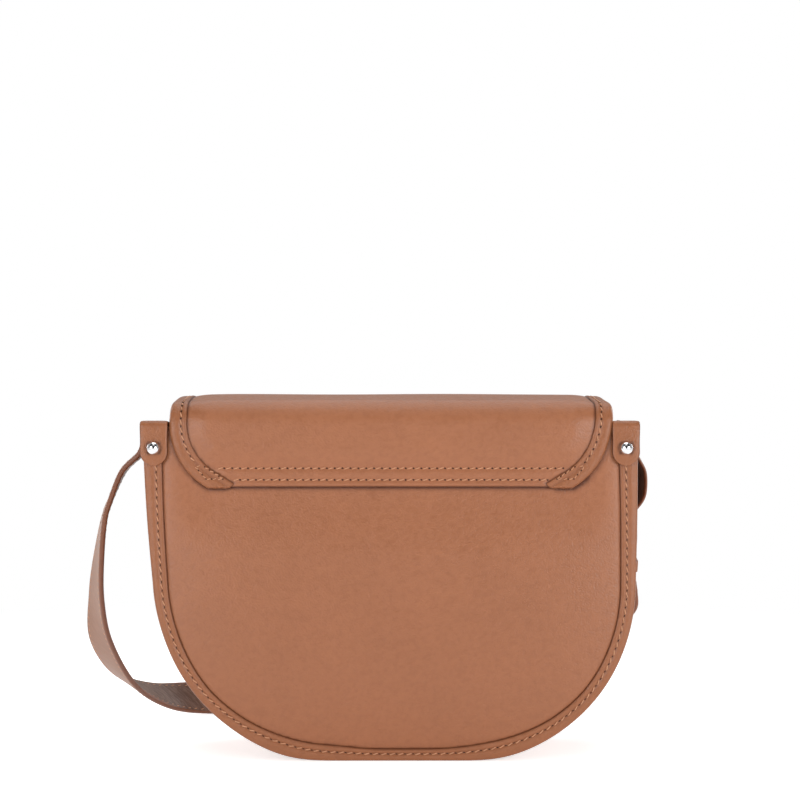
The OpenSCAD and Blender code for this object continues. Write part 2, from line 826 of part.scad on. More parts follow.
// Long strap in the frame of its right end: under the lower bar, over the upper one, up to the tongue
tongue_out = layer_out + short_t / 2 + run_gap + strap_t / 2;
under_out = bar_out - buckle_wire_d / 2 - run_gap - strap_t / 2;
over_out = bar_out + fold_r + short_t / 2 + 2 * run_gap + strap_t / 2;
straight_l = buckle_drop_l + buckle_l * 1.35;
tongue_points = [
    [under_out, -straight_l],
    [under_out, -buckle_drop_l - buckle_l * 1.15],
    [under_out + ply_gap, -buckle_drop_l - buckle_l * 0.93],
    [(under_out + over_out) / 2, -buckle_drop_l - buckle_l * 0.5],
    [over_out - ply_gap, -buckle_drop_l - buckle_l * 0.08],
    [tongue_out + (over_out - tongue_out) * 0.7, -buckle_drop_l + buckle_l * 0.4],
    [tongue_out + run_gap, -buckle_drop_l + buckle_l * 0.85],
    [tongue_out, -buckle_drop_l + buckle_l * 1.3],
    [tongue_out, -buckle_drop_l + tongue_l],
];

module tongue() {
    tip_l = -buckle_drop_l + tongue_l;
    slot_w = prong_d + 2 * run_gap;
    difference() {
        intersection() {
            hang_across(strap_w) polygon(ribbon(smooth(tongue_points, 4), strap_t));
            hang() rotate([90, 0, 0]) linear_extrude(2 * over, center = true) union() {
                translate([-strap_w / 2, -over]) square([strap_w, over + tip_l - strap_w / 2]);
                translate([0, tip_l - strap_w / 2]) circle(d = strap_w, $fn = round_fn);
            }
        }
        hang() translate([-slot_w / 2, -over_out - over, -buckle_drop_l - buckle_l * 0.75])
            cube([slot_w, 2 * over, buckle_l * 0.75 + eye_r]);
        hang() for (k = [1:2]) translate([0, 0, -buckle_drop_l + hole_step * k]) rotate([90, 0, 0])
            cylinder(h = 2 * over, d = hole_d, center = true, $fn = round_fn);
    }
}

// Left end of the long strap: round the bridge, from the sewn tail to the outer layer
left_in = bridge_w / 2 + loop_gap + strap_t / 2;
left_top = strap_t / 2 + loop_gap + bridge_dip / 5;
left_low = -bridge_t - loop_gap - strap_t / 2;
left_mid = (left_top + left_low) / 2;
left_r = (left_top - left_low) / 2;
left_points = concat(
    [
        [bridge_w * 0.4, left_low - strap_t * 0.7],
        [bridge_w * 0.1, left_low - strap_t * 0.2],
    ],
    arc(-bridge_w / 2 + loop_gap, left_mid, left_r, -90, -270, 8),
    [
        [bridge_w * 0.1, left_top],
        [left_in - strap_t * 0.5, left_top - strap_t * 0.25],
        [left_in + ply_gap, left_mid],
    ]
);
left_start = [for (p = left_points) [bridge_x + p[0], 0, bridge_mid_z + p[1], 0, -1, 0]];

// Route of the long strap from the left bridge to the buckle. Each row is the middle of the strap,
// as shares of half the body's width, half its depth and its height, then the direction across it.
route_shares = [
    [1.058, 0, 0.902, 0.02, -1, 0],
    [1.144, -0.08, 0.848, 0.05, -1, 0],
    [1.213, -0.24, 0.737, 0.15, -1, 0],
    [1.252, -0.5, 0.592, 0.3, -0.95, 0],
    [1.276, -0.87, 0.447, 0.45, -0.88, 0.03],
    [1.272, -1.32, 0.295, 0.68, -0.72, -0.03],
    [1.197, -1.97, 0.16, 0.7, -0.6, 0.27],
    [1.067, -2.58, 0.088, 0.28, -0.3, 0.87],
];
// Stretch that stands on its edge on the floor: shares of half the body's width and depth
floor_shares = [
    [0.878, -2.97], [0.602, -3], [0.203, -2.63], [-0.146, -2.45], [-0.341, -2.58], [-0.455, -3.03],
    [-0.366, -3.53], [-0.146, -3.71], [0.325, -3.71], [0.667, -3.87], [0.797, -4.42], [0.65, -4.97],
    [0.244, -5.11], [-0.325, -5.05], [-0.7, -4.68], [-0.829, -4.1], [-0.789, -3.6], [-0.683, -3.1],
    [-0.61, -2.66], [-0.593, -2.21], [-0.63, -1.76],
];
// Twist from the floor up to the right end, written like the first stretch
rise_shares = [
    [-0.671, -1.48, 0.0604, 0.28, 0.15, 0.94],
    [-0.732, -1.24, 0.0755, 0.5, 0.38, 0.78],
    [-0.809, -1.02, 0.109, 0.62, 0.7, 0.36],
    [-0.886, -0.83, 0.166, 0.4, 0.91, -0.05],
    [-0.939, -0.7, 0.242, 0.1, 0.97, -0.2],
];
floor_z = strap_w / 2 + floor_lift;

function shared(r) = [r[0] * body_w / 2, r[1] * body_d / 2, r[2] * mouth_z, r[3], r[4], r[5]];
hang_end = hang_point(under_out, -straight_l);
hang_lead = hang_point(under_out, -straight_l - buckle_l / 4);
long_points = concat(
    [for (r = route_shares) shared(r)],
    [for (r = floor_shares) [r[0] * body_w / 2, r[1] * body_d / 2, floor_z, 0, 0, 1]],
    [for (r = rise_shares) shared(r)],
    [[hang_lead[0], hang_lead[1], hang_lead[2], -hang_w[0], -hang_w[1], -hang_w[2]]],
    [[hang_end[0], hang_end[1], hang_end[2], -hang_w[0], -hang_w[1], -hang_w[2]]]
);

function place(r) = [r[0], r[1], r[2]];
function lean(r) = [r[3], r[4], r[5]];

// Ring of four corners at one station of a swept strap
function ring(rows, k, w, t) =
    let (
        along = unit(place(rows[min(k + 1, len(rows) - 1)]) - place(rows[max(k - 1, 0)])),
        wide = unit(lean(rows[k]) - along * (lean(rows[k]) * along)),
        thick = cross(along, wide),
        p = place(rows[k])
    )
    [p + wide * w / 2 + thick * t / 2, p - wide * w / 2 + thick * t / 2,
     p - wide * w / 2 - thick * t / 2, p + wide * w / 2 - thick * t / 2];

module sweep_strap(rows, w, t) {
    rings = [for (k = [0:len(rows) - 1]) ring(rows, k, w, t)];
    last = 4 * (len(rows) - 1);
    polyhedron(
        points = [for (r = rings, c = r) c],
        faces = concat(
            [[0, 1, 2], [0, 2, 3]],
            [for (k = [0:len(rows) - 2], m = [0:3])
                [4 * k + m, 4 * k + 4 + m, 4 * k + 4 + (m + 1) % 4]],
            [for (k = [0:len(rows) - 2], m = [0:3])
                [4 * k + m, 4 * k + 4 + (m + 1) % 4, 4 * k + (m + 1) % 4]],
            [[last + 2, last + 1, last], [last + 3, last + 2, last]]
        )
    );
}

module long_strap() {
    rows = concat(
        smooth(concat(left_start, [for (k = [0:2]) long_points[k]]), 2),
        smooth_rest()
    );
    color(tan_leather) union() {
        sweep_strap(rows, strap_w, strap_t);
        tongue();
    }
}

// The rest of the route, past the points that the left end already holds
function smooth_rest() =
    let (all = smooth(long_points, 5)) [for (k = [11:len(all) - 1]) all[k]];

// Keepers

module keeper(s, out0, out1) {
    inner_w = strap_w + 2 * run_gap;
    color(dark_leather) hang() translate([0, 0, -s - keeper_h]) difference() {
        translate([-inner_w / 2 - keeper_t, -out1 - keeper_t, 0])
            cube([inner_w + 2 * keeper_t, out1 - out0 + 2 * keeper_t, keeper_h]);
        translate([-inner_w / 2, -out1, -over]) cube([inner_w, out1 - out0, 2 * over]);
    }
}

module fixed_keeper() {
    keeper(fixed_drop_l, layer_in - short_t / 2 - ply_gap, layer_out + short_t / 2 + ply_gap);
}

module sliding_keeper() {
    keeper(loose_drop_l, layer_out - short_t / 2 - run_gap, tongue_out + strap_t / 2 + run_gap);
}

// Magnetic snap

// Two prongs of the front disc that pass through the wall and its lining
module snap_prongs(grow) {
    h = panel_out - lining_in + 2 * ply_gap + snap_plate_t + grow;
    color(nickel) for (x = [-snap_d / 4, snap_d / 4])
        translate([x - snap_prong_t / 2 - grow, -panel_out - ply_gap, snap_z - snap_prong_w / 2 - grow])
            cube([snap_prong_t + 2 * grow, h, snap_prong_w + 2 * grow]);
}

module snap_socket() {
    face = -panel_out - ply_gap - snap_socket_t;
    color(nickel) {
        slab(face, -panel_out - ply_gap) translate([0, snap_z]) difference() {
            circle(d = snap_d, $fn = round_fn);
            circle(d = snap_dish_d, $fn = round_fn);
        }
        slab(face + snap_dish_h, -panel_out - ply_gap)
            translate([0, snap_z]) circle(d = snap_dish_d + ply_gap, $fn = round_fn);
        snap_prongs(0);
    }
}

module snap_socket_plate() {
    y = lining_in - ply_gap;
    color(dark_metal) difference() {
        slab(-y, -y + snap_plate_t) translate([0, snap_z]) circle(d = snap_d, $fn = round_fn);
        snap_prongs(ply_gap);
    }
}

snap_face = flap_front_y - flap_t;
snap_plate_y = flap_front_y - flap_leather_t - ply_gap;

// Disc with a dome that sits in the dish while the flap is closed
module snap_stud() {
    rim = snap_face - snap_stud_t;
    color(nickel) {
        slab(-snap_plate_y + snap_plate_t + ply_gap, -rim)
            translate([0, snap_z]) circle(d = snap_d, $fn = round_fn);
        slab(-rim - ply_gap, -rim + snap_dome_h)
            translate([0, snap_z]) circle(d = snap_dome_d, $fn = round_fn);
    }
}

module snap_hole() {
    slab(-snap_plate_y, -snap_face + ply_gap)
        translate([0, snap_z]) circle(d = snap_d + 2 * ply_gap, $fn = round_fn);
}

module snap_stud_plate() {
    color(dark_metal) slab(-snap_plate_y, -snap_plate_y + snap_plate_t)
        translate([0, snap_z]) circle(d = snap_d - snap_dome_d, $fn = round_fn);
}

back_panel();
front_panel();
gusset();
back_binding();
front_binding();
mouth_binding();
back_board();
front_board();
base_board();
back_lining();
front_lining();
gusset_lining();
slip_pocket();
zip_pocket();
zip_frame();
zip_tape();
zip_teeth();
zip_slider();
zip_puller();
flap_anchor();
flap_anchor_lining();
flap_anchor_binding();
flap_leather();
flap_board();
flap_lining();
flap_binding();
left_bridge();
right_bridge();
bridge_studs();
stud_washers();
long_strap();
short_strap();
buckle_frame();
buckle_prong();
fixed_keeper();
sliding_keeper();
snap_socket();
snap_socket_plate();
snap_stud();
snap_stud_plate();
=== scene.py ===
# %% [markdown]
# # A saddle crossbody bag in smooth tan leather
# The bag stands on a white floor with its back to the camera, its flap closed and its strap lying in bends
# in front of it. The solid model gives every place and size. This lesson dresses it: soft leather skins,
# folded bindings, stitching, a long flat strap, and metal that shines.
#
# Lengths below are in millimetres, because bag makers think in them, and become metres only when a mesh is
# made. +Z is up, +Y is the back of the bag, which faces the camera, and +X is at the left of the picture.

import bpy
import numpy as np
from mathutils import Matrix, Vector


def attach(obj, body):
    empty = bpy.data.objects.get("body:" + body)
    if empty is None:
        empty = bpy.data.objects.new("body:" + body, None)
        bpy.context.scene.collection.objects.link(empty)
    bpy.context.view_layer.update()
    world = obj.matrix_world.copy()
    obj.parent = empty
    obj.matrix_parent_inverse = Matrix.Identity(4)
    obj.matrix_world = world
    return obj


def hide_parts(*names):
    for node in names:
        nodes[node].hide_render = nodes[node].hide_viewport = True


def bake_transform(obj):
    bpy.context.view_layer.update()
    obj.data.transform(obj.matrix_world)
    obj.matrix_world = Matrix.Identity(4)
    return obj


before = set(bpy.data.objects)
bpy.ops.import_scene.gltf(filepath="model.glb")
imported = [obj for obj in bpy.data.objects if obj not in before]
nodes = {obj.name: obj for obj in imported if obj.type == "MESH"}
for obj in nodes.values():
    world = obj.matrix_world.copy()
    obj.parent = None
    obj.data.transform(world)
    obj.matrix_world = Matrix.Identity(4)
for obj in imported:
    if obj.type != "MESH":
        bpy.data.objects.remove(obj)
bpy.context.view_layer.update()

print(len(nodes), "solid pieces loaded")

# %% [markdown]
# ## The camera
# The photograph was taken with a long lens, level, at the height of the bag's top, so the bag's sides stay
# straight and little of its top shows. A horizontal camera with a 90.7 mm lens gives that. The bag sits low
# in the picture with no tilt: the empty upper half is simply what a level camera sees.

# %% Camera
MM = 0.001
camera_data = bpy.data.cameras.new("studio_camera")
camera_data.lens = 90.7
camera_data.sensor_width = 36
camera = bpy.data.objects.new("studio_camera", camera_data)
camera.location = (-0.005, 1.037, 0.179)
camera.rotation_euler = (np.pi / 2, 0, np.pi)
bpy.context.scene.collection.objects.link(camera)
bpy.context.scene.camera = camera
print("camera at", tuple(camera.location), "m, lens", camera_data.lens, "mm")

# %% [markdown]
# ## Colours and material nodes
# Colours are picked from a screen, so they are sRGB hex values. Shaders add light, which works on
# linear values, so one function converts. A second small function adds a node, sets its inputs and links it,
# which keeps each recipe short.

# %% Colour and node helpers
def linear(hex_colour, light=1.0):
    """A colour as linear red, green, blue and alpha, with its light scaled: each sRGB channel c becomes
    ((c + 0.055) / 1.055) ** 2.4 * light, at most 1."""
    c = np.array([int(hex_colour[k:k + 2], 16) for k in (1, 3, 5)]) / 255
    c = np.where(c <= 0.04045, c / 12.92, ((c + 0.055) / 1.055) ** 2.4)
    return (*np.minimum(c * light, 1), 1)


def new_material(name):
    """An empty material, its node tree and its surface shader."""
    material = bpy.data.materials.new(name)
    material.use_nodes = True
    tree = material.node_tree
    return material, tree, tree.nodes["Principled BSDF"]


def put(tree, node, inputs):
    """Fills a node's inputs: an output socket is linked, anything else is set as the input's value."""
    for key, value in inputs.items():
        if isinstance(value, bpy.types.NodeSocket):
            tree.links.new(value, node.inputs[key])
        else:
            node.inputs[key].default_value = value


def add(tree, kind, inputs=None, **settings):
    """Adds a node of a kind with its settings, and fills its inputs."""
    node = tree.nodes.new("ShaderNode" + kind)
    for key, value in settings.items():
        setattr(node, key, value)
    put(tree, node, inputs or {})
    return node


print("#B07A5C is linear", [round(float(v), 3) for v in linear("#B07A5C")[:3]])

# %% [markdown]
# ## Smooth tan leather
# This is full-grain calf leather, dyed through, milled soft and given a light satin finish. To the eye that
# is a warm, even brown with a soft shine that breaks up a little. A photograph could be wrapped round the
# bag, but a recipe made of noise fits every piece and has no seams. Real pores and creases are about 0.4 mm
# apart. A picture point here covers half a millimetre, so the grain is drawn coarser, at 0.9 mm, which still
# shows as a fine unevenness. The colour drifts a little from place to place, because hides do. Where leather
# dives under a binding or into a narrow gap, the shade that falls there is painted: the pieces carry an
# attribute named shade, which darkens the colour towards the seam's colour.

# %% Leather
def leather(name, base, seam, grain_mm=0.9, bump_mm=0.3, roughness=0.4, drift=0.5):
    """Dyed leather: colour that drifts over 38 mm and 5 mm, grain, and satin shine. It goes towards the
    seam's colour in spots, in hollows of the grain, and as painted shade where the attribute shade is high."""
    material, tree, surface = new_material(name)
    place = add(tree, "TexCoord").outputs["Object"]
    cloud, spots, pores = (
        add(tree, "TexNoise", {"Vector": place, "Scale": 1 / (size_mm * MM), "Detail": detail}).outputs["Fac"]
        for size_mm, detail in ((38, 3.0), (5, 2.0), (2.6 * grain_mm, 4.0)))
    deep, pale = linear(base, 1 - 0.15 * drift), linear(base, 1 + 0.13 * drift)
    colour = add(tree, "Mix", {0: cloud, 6: deep, 7: pale}, data_type="RGBA").outputs[2]
    speckle = add(tree, "MapRange", {"Value": spots, "From Min": 0.35, "From Max": 0.7,
                                     "To Max": 0.1 * drift})
    shade = add(tree, "Attribute", attribute_name="shade")
    hollow = add(tree, "MapRange", {"Value": pores, "From Min": 0.55, "From Max": 0.35, "To Max": 0.09})
    for share in (speckle.outputs["Result"], shade.outputs["Fac"], hollow.outputs["Result"]):
        colour = add(tree, "Mix", {0: share, 6: colour, 7: linear(seam)}, data_type="RGBA").outputs[2]
    grain = add(tree, "TexVoronoi", {"Vector": place, "Scale": 1 / (grain_mm * MM), "Randomness": 1.0},
                feature="SMOOTH_F1")
    hills = add(tree, "Math", {0: grain.outputs["Distance"], 1: pores}, operation="ADD").outputs[0]
    dull = add(tree, "MapRange", {"Value": pores, "From Min": 0.3, "From Max": 0.7,
                                  "To Min": roughness - 0.06, "To Max": roughness + 0.07}).outputs["Result"]
    bump = add(tree, "Bump", {"Height": hills, "Strength": 0.5, "Distance": bump_mm * MM}).outputs[0]
    put(tree, surface, {"Base Color": colour, "Roughness": dull, "Normal": bump, "IOR": 1.45})
    return material


wall_leather = leather("milled_calf_leather_satin", "#9D6342", "#4E230E")
binding_leather = leather("folded_calf_binding", "#955C3A", "#48200D", grain_mm=0.8)
# An edge is sanded and painted, so it is smoother and duller in colour than the leather's face.
edge_paint = leather("painted_leather_edge", "#825139", "#4A2412", bump_mm=0.03, roughness=0.38)
# Split leather is the lower layer of the hide. It has a short nap and no shine.
backing_leather = leather("flap_backing_split", "#8F6148", "#4A2817", grain_mm=0.6, bump_mm=0.08,
                          roughness=0.7, drift=1.0)
print("leathers:", wall_leather.name, binding_leather.name, edge_paint.name, backing_leather.name)

# %% [markdown]
# ## Strap leather
# A strap bends all day, so its leather has fine slanting creases about 1.2 mm apart. The outer face is
# painted lighter for the sheen that it catches, and the inner one is the unpolished flesh side, dark in
# itself and painted darker for the shade it lies in, with deeper creases. The creases have to follow the
# strap round its bends, so they are drawn on its own flat map, not on places in space.

# %% Strap leather
def creased_leather(name, base, seam, contrast, crease_mm=1.2):
    """Creases from noise drawn out to five times its length and turned by 0.8 radians. The colour goes from a
    little above the base on the ridges, as painted sheen, to a little towards the seam's colour in the
    hollows, as painted shade, by the contrast."""
    material, tree, surface = new_material(name)
    place = add(tree, "UVMap").outputs["UV"]
    slant = add(tree, "Mapping", {"Vector": place, "Rotation": (0, 0, 0.8), "Scale": (1.0, 5.0, 1.0)},
                vector_type="TEXTURE")
    creases = add(tree, "TexNoise", {"Vector": slant.outputs[0], "Scale": 1 / (crease_mm * MM), "Detail": 3.0,
                                     "Distortion": 0.6})
    ridge = add(tree, "MapRange", {"Value": creases.outputs["Fac"], "From Min": 0.38,
                                   "From Max": 0.62}).outputs["Result"]
    middle, dark = np.array(linear(base)), np.array(linear(seam))
    pale, deep = (tuple(middle + (middle - dark) * k * contrast) for k in (0.5, -1))
    colour = add(tree, "Mix", {0: ridge, 6: deep, 7: pale}, data_type="RGBA").outputs[2]
    bump = add(tree, "Bump", {"Height": ridge, "Strength": 0.7, "Distance": 0.24 * contrast * MM}).outputs[0]
    put(tree, surface, {"Base Color": colour, "Roughness": 0.45, "Normal": bump})
    return material


# The outer face is painted lighter for its sheen, the inner one is darker flesh painted darker for shade.
strap_leather = creased_leather("strap_leather_outer_face", "#966B54", "#6E4330", 0.12)
flesh_leather = creased_leather("strap_leather_inner_face", "#745B4F", "#452C22", 0.42)
print("strap leathers:", strap_leather.name, flesh_leather.name)

# %% [markdown]
# ## Thread, board and metal
# The thread is bonded nylon, twisted, a little lighter than the leather. Each needle hole is a small dent,
# and the shadow in it is painted on a dark disc.
# The stiffening is grey bonded fibre board, dull and a little mottled. Studs, buckle and zip teeth are
# polished nickel plate, which mirrors the room almost without colour. The zip slider is tumbled zinc casting,
# greyer and softer in its shine, and the washers are zinc-plated steel. One recipe serves them all, because
# they differ only in colour, shine and the size of their unevenness.

# %% Thread, board and metal
def plain_surface(name, colour, roughness, metallic=0.0, wear=0.0, grit_mm=1.0):
    """One colour, darker by up to the wear in a noise of the grit's size, which also bends the light a little
    and moves the roughness by a fifth."""
    material, tree, surface = new_material(name)
    place = add(tree, "TexCoord").outputs["Object"]
    grit = add(tree, "TexNoise", {"Vector": place, "Scale": 1 / (grit_mm * MM), "Detail": 3.0}).outputs["Fac"]
    worn = add(tree, "Mix", {0: grit, 6: linear(colour, 1 - wear), 7: linear(colour)},
               data_type="RGBA").outputs[2]
    rough = add(tree, "MapRange", {"Value": grit, "To Min": roughness * 0.8, "To Max": roughness * 1.2})
    bump = add(tree, "Bump", {"Height": grit, "Strength": 0.25, "Distance": 0.02 * MM}).outputs[0]
    put(tree, surface, {"Base Color": worn, "Roughness": rough.outputs["Result"], "Normal": bump,
                        "Metallic": metallic})
    return material


thread = plain_surface("bonded_nylon_thread", "#D69C76", 0.5, wear=0.3, grit_mm=0.4)
needle_hole = plain_surface("needle_hole_shadow", "#43200F", 0.9, wear=0.3, grit_mm=0.5)
fibre_board = plain_surface("bonded_fibre_board", "#8E8A84", 0.9, wear=0.3, grit_mm=0.6)
nickel = plain_surface("polished_nickel_plate", "#DCDCDE", 0.05, metallic=1.0, wear=0.03, grit_mm=6.0)
cast_metal = plain_surface("tumbled_zinc_casting", "#B4B3B2", 0.24, metallic=1.0, wear=0.12, grit_mm=1.2)
steel = plain_surface("zinc_plated_steel_washer", "#A9AAAC", 0.32, metallic=1.0, wear=0.15, grit_mm=0.8)
print("plain surfaces:", thread.name, fibre_board.name, nickel.name, cast_metal.name, steel.name)

# %% [markdown]
# ## Lining and zip tape
# The lining is cotton twill, matt and a little fuzzy. Its diagonal is too fine to show here, so it is drawn
# as a simple check of threads, 0.7 mm each, which is coarser than the real 0.4 mm. The zip tape is smoother
# polyester, dyed to go with the leather. Threads could be modelled one by one, but two crossing waves in the
# recipe give the same look at no cost.

# %% Cloth
def woven_cloth(name, colour, thread_mm=0.7, roughness=0.85):
    """Plain weave: two sine stripes at the thread spacing cross, and their product is bump and colour alike.
    A wave of scale k repeats each 0.314 / k, hence the factor."""
    material, tree, surface = new_material(name)
    place = add(tree, "TexCoord").outputs["Object"]
    stripes = [add(tree, "TexWave", {"Vector": place, "Scale": 0.314 / (thread_mm * MM), "Distortion": 0.6},
                   bands_direction=d).outputs["Fac"] for d in ("X", "Z")]
    weave = add(tree, "Math", {0: stripes[0], 1: stripes[1]}, operation="MULTIPLY").outputs[0]
    shaded = add(tree, "Mix", {0: weave, 6: linear(colour, 0.72), 7: linear(colour)},
                 data_type="RGBA").outputs[2]
    bump = add(tree, "Bump", {"Height": weave, "Strength": 0.6, "Distance": 0.08 * MM}).outputs[0]
    put(tree, surface, {"Base Color": shaded, "Roughness": roughness, "Normal": bump, "Sheen Weight": 0.2})
    return material


lining_cloth = woven_cloth("cotton_twill_lining", "#C4AF92")
zip_tape_cloth = woven_cloth("polyester_zip_tape", "#8A5F49", thread_mm=0.5)
print("cloth thread spacing 0.7 mm, zip tape 0.5 mm")

# %% [markdown]
# ## From arrays to a mesh
# Every soft piece below is worked out for all its points at once, as numpy arrays, and handed to the mesh in
# one go. Faces are kept as two flat arrays, their corners and their sizes. If a piece's volume comes out
# negative, its faces look inwards, and reading both arrays backwards turns them all.

# %% Piece helper
def volume_of(points, corners, sizes):
    """Signed volume: the sum of a . (b x c) / 6 over each face's corners b and c = the next one, where a is
    the face's first corner."""
    end = np.cumsum(sizes)
    after = np.arange(len(corners)) + 1
    after[end - 1] = end - sizes
    a, b, c = points[corners[np.repeat(end - sizes, sizes)]], points[corners], points[corners[after]]
    return (a * np.cross(b, c)).sum() / 6


def make_piece(name, points, faces, materials, body="bag", slot=None, stands_for=(), face_material=0,
               shade=None, flat_map=None, bends=False, smooth=True):
    """Puts points in millimetres and faces into a mesh in metres, with its material and body. The record
    slot is not used.
    The faces are one array of equal ones, or a pair of flat corners and sizes."""
    if not isinstance(faces, tuple):
        faces = faces.ravel(), np.full(len(faces), faces.shape[1])
    corners, sizes = faces
    used, corners = np.unique(corners, return_inverse=True)
    points, kinds = np.reshape(points, (-1, 3))[used], np.broadcast_to(face_material, len(sizes))
    if volume_of(points, corners, sizes) < 0:
        corners, sizes, kinds = corners[::-1], sizes[::-1], kinds[::-1]
    mesh = bpy.data.meshes.new(name)
    for group, count, key, values in (
            (mesh.vertices, len(points), "co", np.float32(points * MM).ravel()),
            (mesh.loops, len(corners), "vertex_index", np.ascontiguousarray(corners, np.int32)),
            (mesh.polygons, len(sizes), "loop_start", np.int32(np.cumsum(sizes) - sizes))):
        group.add(count)
        group.foreach_set(key, values)
    mesh.update(calc_edges=True)
    for material in materials if isinstance(materials, list) else [materials]:
        mesh.materials.append(material)
    mesh.polygons.foreach_set("material_index", np.ascontiguousarray(kinds, np.int32))
    mesh.polygons.foreach_set("use_smooth", np.full(len(sizes), smooth))
    if shade is not None:
        attribute = mesh.attributes.new("shade", "FLOAT", "POINT")
        attribute.data.foreach_set("value", np.float32(shade).ravel()[used])
    if flat_map is not None:
        layer = mesh.uv_layers.new(name="flat_map")
        layer.data.foreach_set("uv", np.float32(flat_map[used] * MM)[corners].ravel())
    mesh.update()
    piece = bpy.data.objects.new(name, mesh)
    bpy.context.scene.collection.objects.link(piece)
    if bends:
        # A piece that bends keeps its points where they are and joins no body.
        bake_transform(piece)
    else:
        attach(piece, body)
    if stands_for:
        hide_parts(*stands_for)
    return piece


tetrahedron = np.array([[0, 0, 0], [1, 0, 0], [0, 1, 0], [0, 0, 1.0]])
tetrahedron_faces = np.array([0, 2, 1, 0, 1, 3, 0, 3, 2, 1, 2, 3]), np.full(4, 3)
print("volume of a unit tetrahedron:", volume_of(tetrahedron, *tetrahedron_faces).round(3))

# %% [markdown]
# ## Leather as a closed wall
# Leather has a thickness, so a piece is a closed wall between an outer and an inner grid. It could be a sheet
# with a solidify modifier, but a wall with its own inner grid can be thinned where the real one is thinned.
# Cells can be left out, as for a buckle slot, and the wall then closes round the gap.

# %% Wall helper
def wall_faces(rows, cols, keep=None):
    """Faces of a closed wall between an outer grid and an inner one numbered after it. A side face stands on
    each cell edge that has a kept cell on one side only."""
    keep = np.ones((rows - 1, cols - 1), bool) if keep is None else keep
    n = rows * cols
    number = np.arange(n).reshape(rows, cols)
    a, b, c, d = number[:-1, :-1], number[:-1, 1:], number[1:, 1:], number[1:, :-1]
    outer = np.stack([a, b, c, d], -1)[keep]
    padded = np.pad(keep, 1)
    here, above = padded[1:, 1:-1], padded[:-1, 1:-1]
    left, before = padded[1:-1, 1:], padded[1:-1, :-1]
    v1, v2, u1, u2 = number[:, :-1], number[:, 1:], number[:-1], number[1:]
    sides = [np.stack([p[mask], q[mask], q[mask] + n, p[mask] + n], -1) for mask, p, q in (
        (here & ~above, v2, v1), (above & ~here, v1, v2), (left & ~before, u1, u2), (before & ~left, u2, u1))]
    return np.concatenate([outer, outer[:, ::-1] + n, *sides])


def wall_piece(name, outer, inner, material, keep=None, shade=None, **placing):
    """A closed piece between two grids of points, each rows x columns x 3."""
    rows, cols = outer.shape[:2]
    points = np.concatenate([outer.reshape(-1, 3), inner.reshape(-1, 3)])
    both = None if shade is None else np.tile(np.ravel(shade), 2)
    return make_piece(name, points, wall_faces(rows, cols, keep), material, shade=both, **placing)


print("wall of a 3 x 3 grid has", len(wall_faces(3, 3)), "faces")

# %% [markdown]
# ## Stitches
# A machine stitch shows as a short slanted length of thread that dives into a needle hole at both ends. There
# are over a thousand here, so each is a bent capsule of a few dozen faces, and each hole a flat disc that
# paints the hole's shadow dark.
# One small shape is copied to every place along the seam in a single array sum.

# %% Stitch shapes
def unit(v):
    """Vectors divided by their length."""
    return v / np.maximum(np.linalg.norm(v, axis=-1, keepdims=True), 1e-9)


def tube_faces(rings, corners, closed=False):
    """Faces round a row of rings, with a cap on each end unless the row closes on itself."""
    number = np.arange(rings * corners).reshape(rings, corners)
    first, after = (number, np.roll(number, -1, 0)) if closed else (number[:-1], number[1:])
    quads = np.stack([first, np.roll(first, -1, 1), np.roll(after, -1, 1), after], -1).ravel()
    caps = [] if closed else [number[0, ::-1], number[-1]]
    return np.concatenate([quads, *caps]), np.array([4] * (len(quads) // 4) + [corners] * len(caps))


def stitch_shape(length, width, height):
    """A capsule along x whose middle line is the arch height * cos(pi x / length), so both ends dive."""
    x = np.linspace(-0.5, 0.5, 7) * length
    r = width / 2 * np.sqrt(np.clip(1 - (np.abs(np.linspace(-1, 1, 7)) ** 4), 0.12, 1))
    angle = np.arange(6) * np.pi / 3
    y = r[:, None] * np.cos(angle)
    z = r[:, None] * np.sin(angle) * 0.8 + (height * np.cos(np.pi * x / length))[:, None]
    return np.stack([np.repeat(x[:, None], 6, 1), y, z], -1).reshape(-1, 3), tube_faces(7, 6)


def hole_shape(radius, depth):
    """A flat eight-sided disc, a little longer than wide."""
    angle = np.arange(8) * np.pi / 4
    ring = np.stack([1.15 * radius * np.cos(angle), radius * np.sin(angle)], 1)
    points = np.vstack([np.c_[ring, np.full(8, depth)], np.c_[ring, np.full(8, -0.3)]])
    return points, tube_faces(2, 8)


print("one stitch has", len(stitch_shape(3, 0.6, 0.3)[1][1]), "faces")

# %% [markdown]
# ### Sewing a line
# A seam is a line of points with the surface's normals. Places are spaced along it by the stitch's pitch, and
# the two small shapes are set down there, the threads with a slight slant.

# %% Sewing
def along_line(line, up, pitch, start=0.0, end=0.0):
    """Points spaced by the pitch along a line, with their directions and surface normals."""
    run = np.concatenate([[0], np.cumsum(np.linalg.norm(np.diff(line, axis=0), axis=1))])
    count = max(int((run[-1] - start - end) / pitch), 1)
    at = start + (run[-1] - start - end - count * pitch) / 2 + pitch * (np.arange(count) + 0.5)
    place, ahead, behind, normal = (
        np.stack([np.interp(at + step, run, rows[:, k]) for k in range(3)], 1)
        for rows, step in ((line, 0), (line, 0.4), (line, -0.4), (up, 0)))
    forward, normal = unit(ahead - behind), unit(normal)
    return place, forward, unit(normal - forward * (normal * forward).sum(1, keepdims=True))


def copies(shape, place, forward, normal, turn=0.0, offset=0.0):
    """The shape at every place: place + x * forward + y * side + z * normal, turned in the surface."""
    points, (corners, sizes) = shape
    side = np.cross(normal, forward)
    ahead = forward * np.cos(turn) + side * np.sin(turn)
    across = np.cross(normal, ahead)
    start = place + forward * offset
    spread = (start[:, None] + points[None, :, :1] * ahead[:, None] + points[None, :, 1:2] * across[:, None]
              + points[None, :, 2:] * normal[:, None])
    first = len(points) * np.arange(len(place))[:, None]
    return spread.reshape(-1, 3), ((corners + first).ravel(), np.tile(sizes, len(place)))


